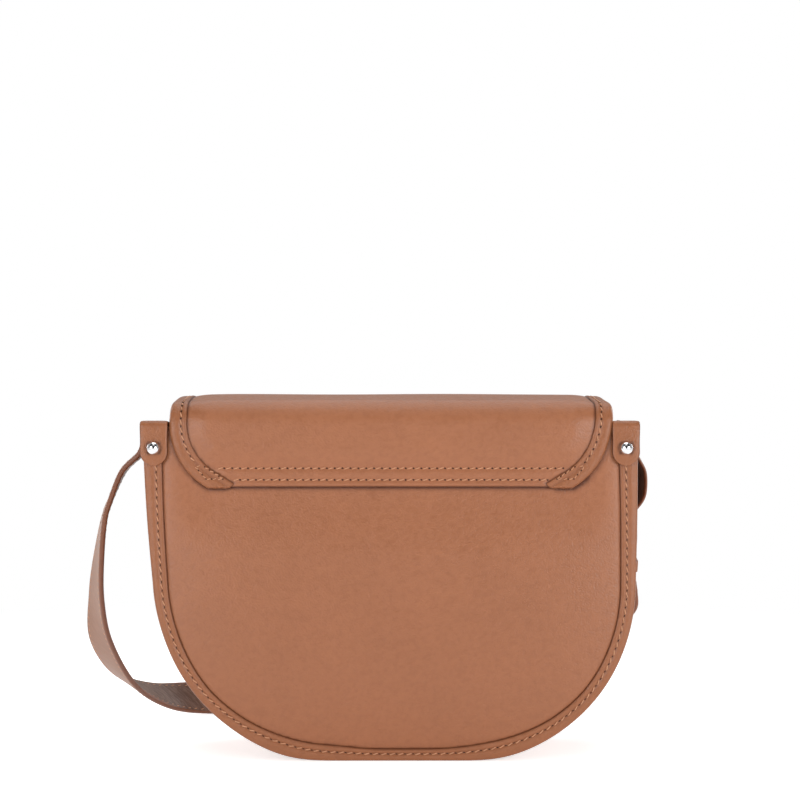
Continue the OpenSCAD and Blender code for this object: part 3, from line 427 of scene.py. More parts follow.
def joined(parts):
    """Several sets of points and faces as one, each set's corners counted on from the points before it."""
    before = np.cumsum([0] + [len(points) for points, _ in parts])
    return (np.vstack([points for points, _ in parts]),
            (np.concatenate([faces[0] + first for (_, faces), first in zip(parts, before)]),
             np.concatenate([faces[1] for _, faces in parts])))


THREAD_LONG, THREAD_D, THREAD_ARCH, THREAD_SLANT = 0.68, 0.58, 0.28, 0.32   # of the pitch, mm, mm, radians
NEEDLE_R, NEEDLE_LIFT = 0.46, 0.07


def sew(name, lines, pitch=4.2, body="bag", slot="binding_leather", bends=False, size=1.0, lift=0.0):
    """Sews along each (line, normals, start, end): slanted threads between needle holes painted as dark discs
    of shadow. Gives back how many stitches that took."""
    stitch = stitch_shape(THREAD_LONG * pitch, THREAD_D * size, THREAD_ARCH * size)
    hole = hole_shape(NEEDLE_R * size, NEEDLE_LIFT)
    threads, holes = [], []
    for line, up, start, end in lines:
        place, forward, normal = along_line(np.asarray(line), np.asarray(up), pitch, start, end)
        place = place + normal * lift
        threads.append(copies(stitch, place, forward, normal, THREAD_SLANT))
        holes.append(copies(hole, place, forward, normal, offset=pitch / 2))
    for suffix, parts, material in (("thread", threads, thread), ("needle_holes", holes, needle_hole)):
        make_piece(f"{name}_{suffix}", *joined(parts), material, body=body, slot=slot, bends=bends)
    return sum(len(points) for points, _ in threads) // len(stitch[0])


print("a stitch is", THREAD_D, "mm thick and slants by", THREAD_SLANT, "radians")

# %% [markdown]
# ## The outline of the body
# The body is D-shaped: sides that lean out a little towards the mouth, two large round corners and a short
# flat base. Everything sewn round the body follows this outline, so it is worked out once, as a line of
# points, and as the distance of any point from it.

# %% Outline
MOUTH_Z, CORNER_R, BASE_W, SIDE_LEAN = 165.6, 88.0, 64.0, 3.0
BACK_Y = 38.0


def body_outline(top):
    """Points in x and z from the left side's top round the base to the right side's top, with the direction
    inwards: a straight side, a quarter circle of the corner radius, the base, and the same mirrored."""
    z = np.arange(top, CORNER_R, -2.2)
    side = np.stack([BASE_W / 2 + CORNER_R + SIDE_LEAN * (z - CORNER_R) / (MOUTH_Z - CORNER_R), z], 1)
    a = np.linspace(0, -np.pi / 2, 64)
    corner = np.stack([BASE_W / 2 + CORNER_R * np.cos(a), CORNER_R + CORNER_R * np.sin(a)], 1)
    base = np.stack([np.linspace(BASE_W / 2, 0, 12)[1:], np.zeros(11)], 1)
    half = np.vstack([side, corner, base])
    points = np.vstack([half, (half * [-1, 1])[-2::-1]])
    tangent = unit(np.gradient(points, axis=0))
    return points, np.stack([tangent[:, 1], -tangent[:, 0]], 1)


def half_width(z):
    """Half the body's width at a height: the leaning side above the corners, the circle below."""
    side = BASE_W / 2 + CORNER_R + SIDE_LEAN * (z - CORNER_R) / (MOUTH_Z - CORNER_R)
    corner = BASE_W / 2 + np.sqrt(np.clip(CORNER_R ** 2 - (CORNER_R - z) ** 2, 0, None))
    return np.where(z > CORNER_R, side, corner)


def edge_distance(x, z):
    """Distance from the outline inwards: to the side above the corners, to the circle or the base below."""
    low = np.where(np.abs(x) > BASE_W / 2,
                   CORNER_R - np.hypot(np.abs(x) - BASE_W / 2, CORNER_R - z), z)
    return np.where(z > CORNER_R, half_width(z) - np.abs(x), low)


def outline_height(x, z):
    """Height of the outline's nearest point: the same height at the sides, and out along the corner's radius
    or straight down below."""
    across = np.clip(np.abs(x) - BASE_W / 2, 0, None)
    down = np.clip(CORNER_R - z, 1e-6, None)
    return np.where(z > CORNER_R, z, CORNER_R - CORNER_R * down / np.hypot(across, down))


outline, inward = body_outline(MOUTH_Z)
print("outline of", len(outline), "points, length",
      round(float(np.linalg.norm(np.diff(outline, axis=0), axis=1).sum())), "mm")

# %% [markdown]
# ### Seams and lean
# The binding's seam and groove lie at a distance inside of the outline that changes on the way round: wide at
# the mouth, narrow where the strip rolls under the base. In the photograph the back of the bag has sunk a
# little to the right as it stands. A shear that grows towards the floor and towards the back gives the same
# lean, and leaves the front and the strap where the solid model has them.

# %% Seams and lean
def ease(x, low, high):
    """0 below low, 1 above high, and the smooth step 3t^2 - 2t^3 between."""
    t = np.clip((np.asarray(x, float) - low) / (high - low), 0, 1)
    return t * t * (3 - 2 * t)


def rolled_under(x, z):
    """1 where the strip rolls under the middle of the base, 0 elsewhere."""
    return np.exp(-((x + 4) / 31) ** 4) * (1 - ease(z, 2, 20))


def seam_inset(x, z):
    """How far in the binding's inner seam lies at a point of the outline: wide at the mouth and at the lower
    corners, narrow where the strip rolls under the base."""
    return np.interp(z, [0, 4, 14, 30, 88, MOUTH_Z], [8.7, 8.5, 7.7, 7.1, 7.5, 9.6]) - 2 * rolled_under(x, z)


def groove_inset(x, z):
    """How far in the stitched groove lies: 3.1 mm outside of the seam, and 2.3 mm under the base."""
    return seam_inset(x, z) - 3.1 + 0.8 * rolled_under(x, z)


def leaned(points):
    """Shears points in x: -4.5 mm at the floor, nothing at the mouth, and only towards the back. The sides
    belly out a little above and draw in below, and the lowest centimetre sags up to 1.25 mm."""
    points = np.array(points, float)
    x, y, z = points[..., 0], points[..., 1], points[..., 2]
    belly = 0.55 * np.exp(-((z - 125) / 30) ** 2) - 0.75 * np.exp(-((z - 62) / 28) ** 2)
    belly = belly * np.sign(x) * ease(np.abs(x), 60, 118) * (0.8 + 0.2 * np.sign(x))
    points[..., 0] = x + (belly - 4.5 * (1 - z / MOUTH_Z)) * ease(y, -10, BACK_Y)
    sag = 1.0 + 0.25 * np.clip(x / 80, -1, 1)
    points[..., 2] = z - sag * (z / 4) * np.exp(1 - z / 4) * (z > 0)
    return points


print("the seam lies", seam_inset(80, MOUTH_Z).round(1), "mm in at the mouth,",
      seam_inset(0, 0).round(1), "mm under the base")

# %% [markdown]
# ## The two leather walls
# Each wall is one cut of leather over a stiffening board. Between the bindings it is softly padded, so it
# comes up nearly level with the binding right at the seam, rises on over two centimetres and then stays
# nearly flat, with faint waves. Cloth simulation under pressure could blow it up, but stiff leather over
# board swells evenly, so a formula gives the height. One photograph can't show that height, so it is an
# estimate from the shading. The grid runs in rows up the wall, each row from side to side. Shade is painted
# into the wall's colour at the seam, where it dives under the binding, and a painted shadow lies close to
# the flap's sewn edge, in the narrow gap under it. The wall is also a little darker towards the bottom.

# %% Back and front walls
WALL_OUT, WALL_IN, UNDER_BINDING = 36.6, 34.85, 1.4   # its two faces, and how far inside the outline it ends
FLAP_HALF, BACK_LOW, BACK_CORNER_R, BACK_CORNER_Z = 109.5, 136.0, 37.5, 168.0   # of the flap's sewn end


# The distance below sets how the painted shadow under the flap's sewn edge fades on the back wall.
def flap_gap(x, z):
    """Distance outside of the flap's sewn outline: below its lower edge or outside of its corner circles."""
    low = BACK_LOW + 0.1 - 0.9 * ease(np.abs(x), 79, 83)
    across = np.clip(np.abs(x) - FLAP_HALF + BACK_CORNER_R, 0, None)
    circle = np.hypot(across, np.clip(BACK_CORNER_Z - z, 0, None)) - BACK_CORNER_R
    return np.clip(np.maximum(low - z, circle), 0, None)


def wall_skin(name, side, node):
    """A D-shaped wall: x = s * half width and y = the padded height, for rows of z and shares s across. At a
    distance d from the seam the height is 0.9 * (1 - exp(-d / 0.7)) + 3.4 * (1 - exp(-d / 20)) and a wave of
    0.22. It fades under the flap, and on the front also towards the snap."""
    low = CORNER_R * (1 - np.cos(np.linspace(0.03, np.pi / 2, 60)))
    z = np.concatenate([low, np.linspace(CORNER_R, 131, 24)[1:], np.linspace(131, 137, 17)[1:],
                        np.linspace(137, MOUTH_Z, 16)[1:]])[:, None]
    q = np.linspace(-1, 1, 201)
    s = np.sign(q) * (1 - (1 - np.abs(q)) ** 1.5)
    x = s * (half_width(z) - UNDER_BINDING)
    z = np.maximum(z, UNDER_BINDING) + 0 * x
    rise = np.clip(edge_distance(x, z) - seam_inset(x, outline_height(x, z)), 0, None)
    bulge = 0.9 * (1 - np.exp(-rise / 0.7)) + 3.4 * (1 - np.exp(-rise / 20))
    bulge += 0.22 * np.sin(x / 23 + 1.3) * np.sin(z / 19 + 0.4) * ease(rise, 4, 30)
    if side > 0:
        bulge *= 1 - ease(z, 100, 136) * ease(112 - np.abs(x), 0, 24)
    else:
        bulge *= (1 - 0.45 * ease(z, 50, 80)) * (1 - np.exp(-(x ** 2 + (z - 84) ** 2) / 18 ** 2))
    outer = leaned(np.stack([x, side * (WALL_OUT + bulge), z], -1))
    inner = leaned(np.stack([x, np.full_like(x, side * WALL_IN), z], -1))
    # Painted shade at the seam, a little darker towards the bottom, and on the back a painted shadow under
    # the flap.
    shade = np.maximum(0.9 * np.exp(-(rise / 0.4) ** 2), 0.05 * (1 - ease(z, 60, 134)))
    if side > 0:
        shade = np.maximum(shade, (0.5 + 0.45 * (np.abs(x) < 98)) * np.exp(-(flap_gap(x, z) / 1.6) ** 2))
    return wall_piece(name, outer, inner, wall_leather, shade=shade, slot="body_leather", stands_for=[node])


back_wall = wall_skin("back_wall_leather", 1, "back_panel")
wall_skin("front_wall_leather", -1, "front_panel")
print("each wall has", len(back_wall.data.polygons), "faces")

# %% [markdown]
# ## The gusset
# The gusset is the leather strip between the two walls. It stands flat under the base, and its sides bow in
# between the bindings, more towards the open top, where the bridges hold the walls together. Its two
# parameters are the way round the outline and the depth across. Its edges are thinned where the bindings
# cover them, and its cloth lining is the same strip, a little narrower and deeper.

# %% Gusset and its lining
def gusset_skin(name, top, reach, depth0, depth1, material, slot, node):
    """A strip between two depths under the outline, bowed in by B(z) * (1 - (y / 31) ** 4)."""
    points, inwards = body_outline(top)
    y = reach * np.sin(np.linspace(-np.pi / 2, np.pi / 2, 41))
    z = points[:, 1:2]
    bow = (2.6 * ease(z, 8, 62) + 3.4 * ease(z, 116, 150)) * np.clip(1 - (y / 31) ** 4, 0, 1)
    sunk = 1.4 * ease(np.abs(y), 30.6, 31.2) if depth0 == 0 else 0 * y
    layers = []
    for depth in (depth0 + sunk, depth1 + 0 * y):
        inset = (bow + depth)[..., None]
        flat = points[:, None] + inwards[:, None] * inset
        layers.append(leaned(np.stack([flat[..., 0], np.broadcast_to(y, bow.shape), flat[..., 1]], -1)))
    # Painted shade where the gusset's edges dive under the bindings.
    shade = 0.5 * ease(np.abs(y), 29.4, 31) + 0 * bow
    return wall_piece(name, *layers, material, shade=shade, slot=slot, stands_for=[node])


gusset = gusset_skin("gusset_leather", 150, 34.6, 0, 2.5, wall_leather, "body_leather", "gusset")
gusset_skin("gusset_cloth", 150, 32.2, 2.7, 3.4, lining_cloth, "lining_cloth", "gusset_lining")
print("gusset", [round(v * 1000) for v in gusset.dimensions], "mm")

# %% [markdown]
# ## The bindings round the body
# A strip of thin leather is folded over the joint of wall and gusset and sewn through. It looks like a soft
# raised band: a rounded outer edge, a shallow groove where the thread pulls it down, and a narrow ridge that
# ends in the seam, where shade is painted dark. That cross-section is one closed profile, written as inset,
# depth and painted shade, and it is carried round the outline. Where the strip rolls under the base, less of
# its width shows.

# %% Body bindings
def curve_through(points, steps, closed=False):
    """Smooth curve: between two points, a cubic that passes through them, and whose slope at each point is
    half the step from its neighbour before to its neighbour after."""
    p = np.asarray(points, float)
    pad = np.vstack([p[-1:], p, p[:2]]) if closed else np.vstack([p[:1], p, p[-1:]])
    t = np.arange(steps)[None, :, None] / steps
    a, b, c, d = (pad[k:len(pad) - 3 + k, None, :] for k in range(4))
    square, cube = 2 * a - 5 * b + 4 * c - d, 3 * b - a - 3 * c + d
    pieces = (2 * b + (c - a) * t + square * t ** 2 + cube * t ** 3) / 2
    curve = pieces.reshape(-1, p.shape[1])
    return curve if closed else np.vstack([curve, p[-1:]])


# DARKEST is the strongest painted shade, at a binding's seam.
GROOVE_DEPTH, DARKEST = 0.52, 0.85


def binding_profile(w, g):
    """Corners of the folded strip as (inset, depth under the back plane), for a seam at inset w and a groove
    at inset g. The last column is the painted shade there: dark at the seam, less in the groove."""
    one = np.ones_like(w)
    corners = [
        (w + 0.15, 1.5, 1.0), (w + 0.05, 1.0, 0.95), (w - 0.2, 0.5, 0.5), (w - 0.7, 0.2, 0.12),
        (0.5 * (w + g), 0.1, 0.0), (g + 0.8, 0.2, 0.04), (g + 0.4, 0.42, 0.16), (g, GROOVE_DEPTH, 0.22),
        (g - 0.45, 0.34, 0.1), (g - 1.0, 0.06, 0.0), (0.6 * g, -0.05, 0.0), (0.45 * g, 0.02, 0.0),
        (0.75 * one, 0.4, 0.0), (0.25 * one, 1.0, 0.0), (0.03 * one, 1.9, 0.0), (0 * one, 3.4, 0.0),
        (0.02 * one, 5.2, 0.0), (0.16 * one, 6.3, 0.0), (0.6 * one, 6.9, 0.4), (1.2 * one, 7.0, 0.9),
        (1.35 * one, 6.4, 1.0), (1.4 * one, 1.55, 1.0)]
    return np.stack([np.stack([i, d * one, s * one], -1) for i, d, s in corners], 1)


def body_binding(name, side, node):
    """Carries the profile round the outline: point = outline + inwards * inset, y = side * (back - depth)."""
    profile = binding_profile(seam_inset(*outline.T), groove_inset(*outline.T))
    rounded = np.stack([curve_through(ring, 3, closed=True) for ring in profile])
    proud = 0.15 * ease(outline[:, 1:], 1, 14) * (1 - ease(rounded[..., 0], 0, 1.2))
    flat = outline[:, None] + inward[:, None] * (rounded[..., 0] - proud)[..., None]
    y = side * (BACK_Y - rounded[..., 1])
    points = leaned(np.stack([flat[..., 0], y, flat[..., 1]], -1))
    rings, corners = points.shape[:2]
    make_piece(name, points, tube_faces(rings, corners), binding_leather, slot="binding_leather",
               stands_for=[node], shade=np.clip(rounded[..., 2], 0, 1) * DARKEST)
    line = outline + inward * groove_inset(*outline.T)[:, None]
    line = leaned(np.stack([line[:, 0], np.full(len(line), side * (BACK_Y - GROOVE_DEPTH)), line[:, 1]], 1))
    return sew(name, [(line, np.tile([0.0, side, 0.0], (len(line), 1)), 4, 4)])


print("stitches round the back:", body_binding("back_body_binding", 1, "back_binding"))
print("stitches round the front:", body_binding("front_body_binding", -1, "front_binding"))

# %% [markdown]
# ## The flap as a flat pattern
# A flap is cut flat and then bent over the bag. The code does the same: every piece of the flap is drawn on a
# flat pattern, with x across and l along, from the edge sewn to the back to the edge at the front. One
# function, wrap, then lays any point of the pattern over the side profile: straight up the back, round a
# 12 mm roll, over a crown of 150 mm radius, round the front roll and down. A height above the pattern becomes
# a distance along the profile's normal.

# %% Side profile and wrap
ROLL_R, CROWN_R, HALF_D, MID_Y, FRONT_LOW, FLAP_TOP = 12.0, 150.0, 41.05, -1.65, 58.0, 182.0
CROWN_Z = FLAP_TOP - CROWN_R
ROLL_A = np.arccos((HALF_D - ROLL_R) / (CROWN_R - ROLL_R))
ROLL_Z = CROWN_Z + np.sqrt((CROWN_R - ROLL_R) ** 2 - (HALF_D - ROLL_R) ** 2)


def side_profile():
    """Points and outward normals down the flap's side view, one each 0.25 mm or less, with their length l:
    12 mm below the sewn edge, the back, three arcs, the front."""
    up, down = np.arange(BACK_LOW - 12, ROLL_Z, 0.25), np.arange(ROLL_Z, FRONT_LOW - 1, -0.25)
    parts = [np.stack([MID_Y + HALF_D + 0 * up, up, 1 + 0 * up, 0 * up], 1)]
    for cy, cz, r, a0, a1 in ((MID_Y + HALF_D - ROLL_R, ROLL_Z, ROLL_R, 0, ROLL_A),
                              (MID_Y, CROWN_Z, CROWN_R, ROLL_A, np.pi - ROLL_A),
                              (MID_Y - HALF_D + ROLL_R, ROLL_Z, ROLL_R, np.pi - ROLL_A, np.pi)):
        a = np.linspace(a0, a1, max(int(r * (a1 - a0) * 5), 2))
        parts.append(np.stack([cy + r * np.cos(a), cz + r * np.sin(a), np.cos(a), np.sin(a)], 1))
    p = np.vstack(parts + [np.stack([MID_Y - HALF_D + 0 * down, down, 0 * down - 1, 0 * down], 1)])
    run = np.concatenate([[0], np.cumsum(np.linalg.norm(np.diff(p[:, :2], axis=0), axis=1))])
    keep = np.concatenate([[True], np.diff(run) > 1e-6])
    return run[keep] - 12, p[keep]


run_l, side_rows = side_profile()
FLAP_L = float(run_l[-1]) - 1
CROWN_L = (ROLL_Z - BACK_LOW) + ROLL_R * ROLL_A + CROWN_R * (np.pi / 2 - ROLL_A)


def wrap(x, l, h):
    """Lays pattern point (x, l) at height h over the profile, narrowed and lowered a little at the crown's
    two ends, where the leather droops. The roll's right end stands out by 1.6 mm."""
    y, z, ny, nz = (np.interp(l, run_l, side_rows[:, k]) for k in range(4))
    crown = np.exp(-np.abs((l - CROWN_L) / 40) ** 4)
    spread = 1.6 * np.exp(-((l - 40) / 13) ** 2) * ease(-x, 60, 108)
    x = x - np.sign(x) * 0.9 * crown * ease(np.abs(x), 100, FLAP_HALF) - spread
    h = h - crown * (1.1 + 1.4 * ease(np.abs(x), 92, FLAP_HALF + 2))
    return np.stack([x + 0 * l, y + ny * h, z + nz * h], -1)


def wrap_normal(l):
    """The profile's outward normal at a length along the pattern."""
    return np.stack([0 * l, np.interp(l, run_l, side_rows[:, 2]), np.interp(l, run_l, side_rows[:, 3])], -1)


print("flap pattern is", round(FLAP_L, 1), "mm long and", 2 * FLAP_HALF, "mm wide")

# %% [markdown]
# ## Distances on the flap's pattern
# The pattern is a rectangle with two small corner circles at the back and two large ones at the front. How
# thick and how dark the leather is depends on the distance from the binding's seam, so that comes first. At
# the back the binding's ends are cut off to a point, and beyond it the leather lies bare down to its edge.

# %% Flap pattern
FRONT_CORNER_R = 76.0
BACK_CORNER_L = BACK_CORNER_Z - BACK_LOW
FRONT_CORNER_L = FLAP_L - FRONT_CORNER_R
ROWS_L = (3.5, 9.2)
FLAP_BIND_W = 9.0


def flap_half_width(l):
    """Half the pattern's width: full, less where a corner circle cuts it at the back or at the front."""
    back, front = (FLAP_HALF - radius + np.sqrt(np.clip(radius ** 2 - (l - middle) ** 2, 0, None))
                   for radius, middle in ((BACK_CORNER_R, BACK_CORNER_L), (FRONT_CORNER_R, FRONT_CORNER_L)))
    return np.where(l < BACK_CORNER_L, back, np.where(l > FRONT_CORNER_L, front, FLAP_HALF))


def flap_edge_distance(x, l):
    """Distance from the pattern's bound edge: the side, or a corner circle."""
    ax = np.abs(x)
    d = FLAP_HALF - ax
    back = BACK_CORNER_R - np.hypot(ax - (FLAP_HALF - BACK_CORNER_R), BACK_CORNER_L - l)
    front = FRONT_CORNER_R - np.hypot(ax - (FLAP_HALF - FRONT_CORNER_R), l - FRONT_CORNER_L)
    d = np.where((l < BACK_CORNER_L) & (ax > FLAP_HALF - BACK_CORNER_R), back, d)
    d = np.where((l > FRONT_CORNER_L) & (ax > FLAP_HALF - FRONT_CORNER_R), front, d)
    return np.where((l > FRONT_CORNER_L) & (ax <= FLAP_HALF - FRONT_CORNER_R), FLAP_L - l, d)


def end_cut(x):
    """Where the binding's two ends at the back are cut: along the lower edge, then up to their point."""
    return -0.9 + 4.3 * np.clip((81.5 - np.abs(x)) / 5, 0, 1) ** 3


def strip_distance(x, l):
    """Distance from the strip's outer edge, which runs on straight beyond the corners at the back."""
    ax = np.abs(x)
    cut = np.arcsin(BACK_CORNER_L / BACK_CORNER_R)
    across, down = ax - (FLAP_HALF - BACK_CORNER_R), BACK_CORNER_L - l
    beyond = (down > 0) & (np.arctan2(down, across) > cut)
    straight = BACK_CORNER_R - (across * np.cos(cut) + down * np.sin(cut))
    return np.where(beyond, straight, flap_edge_distance(x, l))


def seam_distance(x, l):
    """Distance of the leather from the binding's inner seam, nothing where the binding covers it."""
    bare = np.where((l < 8) & (np.abs(x) > 60), end_cut(x) - l, -1)
    return np.clip(np.maximum(strip_distance(x, l) - FLAP_BIND_W, bare), 0, None)


print("half the flap's width at the sewn edge:", flap_half_width(0.0).round(1), "mm")

# %% [markdown]
# ## The flap's leather and backing
# The leather is one cut from the back edge to the front edge, so nothing shows at the bend. It is softly
# padded inside its binding, and pulled down along the two rows of stitches that hold it to the back wall. The
# backing is split leather on the inner side.

# %% Flap leather
SKIN_LOW, BACKING_TOP, BACKING_LOW = -1.4, -2.1, -2.7


def flap_height(x, l):
    """How far the padded leather stands over the pattern at a distance d from the seam:
    0.6 * (1 - exp(-d / 0.7)) + 0.5 * (1 - exp(-d / 9)). It is pulled down by 60 % along the two stitched
    rows, swells by another 1.2 mm above them, is rounded at its lower edge, and has faint waves."""
    rise = seam_distance(x, l)
    pulled = np.exp(-((l - ROWS_L[0]) / 1.3) ** 2) + np.exp(-((l - ROWS_L[1]) / 1.5) ** 2)
    height = 0.6 * (1 - np.exp(-rise / 0.7)) + 0.5 * (1 - np.exp(-rise / 9))
    beyond = ease(l, ROWS_L[1], ROWS_L[1] + 10) * (1 - ease(l, 26, 58)) * ease(rise, 0, 10)
    height = (height * (1 - 0.6 * pulled) + 1.2 * beyond) * ease(l, -0.6, 1.3)
    return height + 0.14 * np.sin(x / 17) * np.sin(l / 21 + 1) * ease(rise, 0, 12) * ease(l, 10, 24)


def flap_skin(name, h0, h1, material, slot, stands_for, padded):
    """A ply of the flap between two heights: x = s * half width, l in rows, with padded height on top."""
    l = np.concatenate([np.linspace(0, 12, 25), np.linspace(12, FRONT_CORNER_L, 110)[1:],
                        FRONT_CORNER_L + (FRONT_CORNER_R - 1.2) * np.sin(np.linspace(0, np.pi / 2, 46))[1:]])
    l = l[:, None]
    q = np.linspace(-1, 1, 111)
    s = np.sign(q) * (1 - (1 - np.abs(q)) ** 1.45)
    x = s * (flap_half_width(l) - 1.2)
    rise = seam_distance(x, l + 0 * x)
    puff = flap_height(x, l + 0 * x) if padded else 0
    outer = wrap(x, l + 0 * x, h0 + puff)
    inner = wrap(x, l + 0 * x, h1 + 0 * x)
    # Painted shade where the leather dives under the binding, and on the padded ply along the lip's lower
    # edge.
    shade = 0.8 * np.exp(-(rise / 0.4) ** 2) * (1 - ease(l, FLAP_L - 2, FLAP_L))
    if padded:
        shade = np.maximum(shade, 0.8 * (1 - ease(l, 0, 0.8)) + 0 * x)
    return wall_piece(name, outer, inner, material, shade=shade, slot=slot, stands_for=stands_for, bends=True)


flap = flap_skin("flap_leather_skin", 0, SKIN_LOW, wall_leather, "body_leather",
                 ["flap_leather", "flap_anchor"], True)
flap_skin("flap_backing_skin", BACKING_TOP, BACKING_LOW, backing_leather, "flap_backing",
          ["flap_lining", "flap_anchor_lining"], False)
print("flap has", len(flap.data.polygons), "faces")

# %% [markdown]
# ## The flap's binding
# The same folded strip runs round the flap, from one corner at the back, over the crown, round the front and
# back again. At both corners of the back it is cut off to a point along the lower edge and held by a small
# stitched parallelogram. The profile is carried along the pattern's edge and wrapped with it. Beyond the
# corner the strip runs on straight, and each ring keeps only what lies inside of the cut, which makes the
# point; its cut edge is rounded down like the folded one.

# %% Flap binding's edge and profile
def flap_edge_line():
    """The pattern's edge from the left point at the back round the front to the right one, with the
    direction inwards and how much of the strip's outer side the lower edge cuts off."""
    cut = np.arcsin(BACK_CORNER_L / BACK_CORNER_R)
    cx, cl = FLAP_HALF - BACK_CORNER_R, BACK_CORNER_L
    a = np.linspace(cut, 0, 26)
    arc = np.stack([cx + BACK_CORNER_R * np.cos(a), cl - BACK_CORNER_R * np.sin(a)], 1)
    arc_in = np.stack([-np.cos(a), np.sin(a)], 1)
    on = np.linspace(11.2, 0, 24)[:-1, None]
    straight = arc[0] + on * [-np.sin(cut), -np.cos(cut)]
    side_l = np.arange(BACK_CORNER_L + 2, FRONT_CORNER_L - 1, 2.0)
    side = np.stack([np.full(len(side_l), FLAP_HALF), side_l], 1)
    b = np.linspace(0, np.pi / 2, 60)
    front = np.stack([FLAP_HALF - FRONT_CORNER_R + FRONT_CORNER_R * np.cos(b),
                      FRONT_CORNER_L + FRONT_CORNER_R * np.sin(b)], 1)
    base = np.stack([np.linspace(FLAP_HALF - FRONT_CORNER_R, 0, 16)[1:], np.full(15, FLAP_L)], 1)
    half = np.vstack([straight, arc, side, front, base])
    half_in = np.vstack([np.tile(arc_in[0], (len(straight), 1)), arc_in, np.tile([-1.0, 0.0], (len(side), 1)),
                         np.stack([-np.cos(b), -np.sin(b)], 1), np.tile([0.0, -1.0], (len(base), 1))])
    line = np.vstack([half, (half * [-1, 1])[-2::-1]])
    inwards = np.vstack([half_in, (half_in * [-1, 1])[-2::-1]])
    m = np.linspace(0, 8.95, 180)
    place = line[:, None] + inwards[:, None] * m[None, :, None]
    clear = place[..., 1] >= end_cut(place[..., 0])
    cut_off = np.where(clear.any(1), m[clear.argmax(1)], m[-1])
    return line, inwards, np.where(line[:, 1] < 8, cut_off, 0)


# The strip's cross-section as distance in from its edge, height, and painted shade: the side that shows,
# from the seam out to the edge, and the side that is folded under.
FOLD = np.array([
    (9.1, -0.5, 1.0), (9.05, 0.1, 0.95), (8.85, 0.65, 0.5), (8.35, 1.0, 0.12), (7.7, 1.12, 0.0),
    (7.0, 1.02, 0.04), (6.4, 0.78, 0.16), (6.0, 0.7, 0.22), (5.6, 0.82, 0.1), (4.7, 1.12, 0.0),
    (3.4, 1.25, 0.0), (2.0, 1.15, 0.0), (1.0, 0.8, 0.0), (0.3, 0.15, 0.0), (0.0, -0.7, 0.0)])
UNDER = np.array([
    (0.0, -1.9, 0.0), (0.25, -2.9, 0.0), (0.9, -3.5, 0.0), (2.2, -3.78, 0.0), (5.0, -3.7, 0.1),
    (7.6, -3.78, 0.0), (8.7, -3.5, 0.4), (9.0, -2.85, 1.0), (6.0, -2.75, 1.0), (1.3, -2.75, 1.0),
    (1.25, -1.4, 1.0), (1.3, -0.15, 1.0), (5.0, -0.12, 1.0)])
edge, edge_in, edge_cut = flap_edge_line()
print("the binding's edge has", len(edge), "places,", int((edge_cut > 0).sum()), "of them in the cut ends")

# %% [markdown]
# ### Carrying the binding, and its seams
# Where the flap is sewn down there is no room for an inner leg, so the strip's under side is pressed flat
# there, and it fills out again where the flap comes free. Seams follow: one all round in the strip's groove,
# a small patch at each cut end, and two rows across the back.

# %% Flap binding and seams
FLAP_GROOVE, IN_GROOVE = 6.0, 0.72


def flap_binding():
    """Carries the folded profile along the pattern's edge: (m, h) goes to edge + inwards * m at height h.
    On the sewn part the inner leg is left out, so its heights stop at the wall."""
    profile = np.vstack([FOLD, UNDER])
    free = ease(edge[:, 1], BACK_CORNER_L - 8, BACK_CORNER_L + 8)[:, None]
    h = profile[:, 1] + 0 * free
    h = np.where(h < BACKING_LOW, BACKING_LOW + (h - BACKING_LOW) * free, h)
    cut = edge_cut[:, None]
    over = profile[:, 0] - cut
    m = np.where(over < 0, cut + 0.004 * over, profile[:, 0] + 0 * cut)
    near = np.sqrt(1 - (1 - np.clip(over, 0, 1)) ** 2)
    h = np.where((cut > 0) & (h > -0.7), -0.7 + (h + 0.7) * near, h)
    rings = np.stack([m, h, np.broadcast_to(profile[:, 2], m.shape)], -1)
    rounded = np.stack([curve_through(ring, 3, closed=True) for ring in rings])
    flat = edge[:, None] + edge_in[:, None] * rounded[..., :1]
    points = wrap(flat[..., 0], flat[..., 1], rounded[..., 1])
    return make_piece("flap_binding_strip", points, tube_faces(*points.shape[:2]), binding_leather,
                      slot="binding_leather", stands_for=["flap_binding", "flap_anchor_binding"],
                      shade=np.clip(rounded[..., 2], 0, 1) * DARKEST, bends=True)


def on_flap(points, lift, on_leather=True):
    """A seam drawn on the pattern by its corners, as a line in space with its normals, lifted off the leather
    or off the folded strip."""
    corners = np.asarray(points, float)
    t = np.linspace(0, 1, 40)[:, None]
    dense = np.vstack([a + (b - a) * t for a, b in zip(corners[:-1], corners[1:])])
    across = strip_distance(dense[:, 0], dense[:, 1])
    strip = np.interp(across, FOLD[::-1, 0], FOLD[::-1, 1])
    height = lift + (flap_height(dense[:, 0], dense[:, 1]) if on_leather else strip)
    return wrap(dense[:, 0], dense[:, 1], height), wrap_normal(dense[:, 1])


flap_binding()
seam_line = edge + edge_in * FLAP_GROOVE
seam_line = seam_line[seam_line[:, 1] > 10.5]
seam = wrap(seam_line[:, 0], seam_line[:, 1], np.full(len(seam_line), IN_GROOVE))
count = sew("flap_edge_seam", [(seam, wrap_normal(seam_line[:, 1]), 0, 0)], pitch=3.9, bends=True)
patch = np.array([(92.4, 10.5), (96.3, 10.1), (90.9, 3.9), (82.4, 3.9), (92.4, 10.5)])
ends = [(*on_flap(patch * [sign, 1], 0.05, False), 0, 0) for sign in (1, -1)]
sew("flap_corner_seam", ends, pitch=2.8, bends=True, size=0.8)
rows = [(*on_flap([(x, ROWS_L[k]), (-x, ROWS_L[k])], 0.03), 0, 0) for k, x in ((0, 79.5), (1, 87.0))]
sew("flap_back_seam", rows, pitch=3.9, bends=True, slot="body_leather")
print("stitches along the flap's edge:", count)

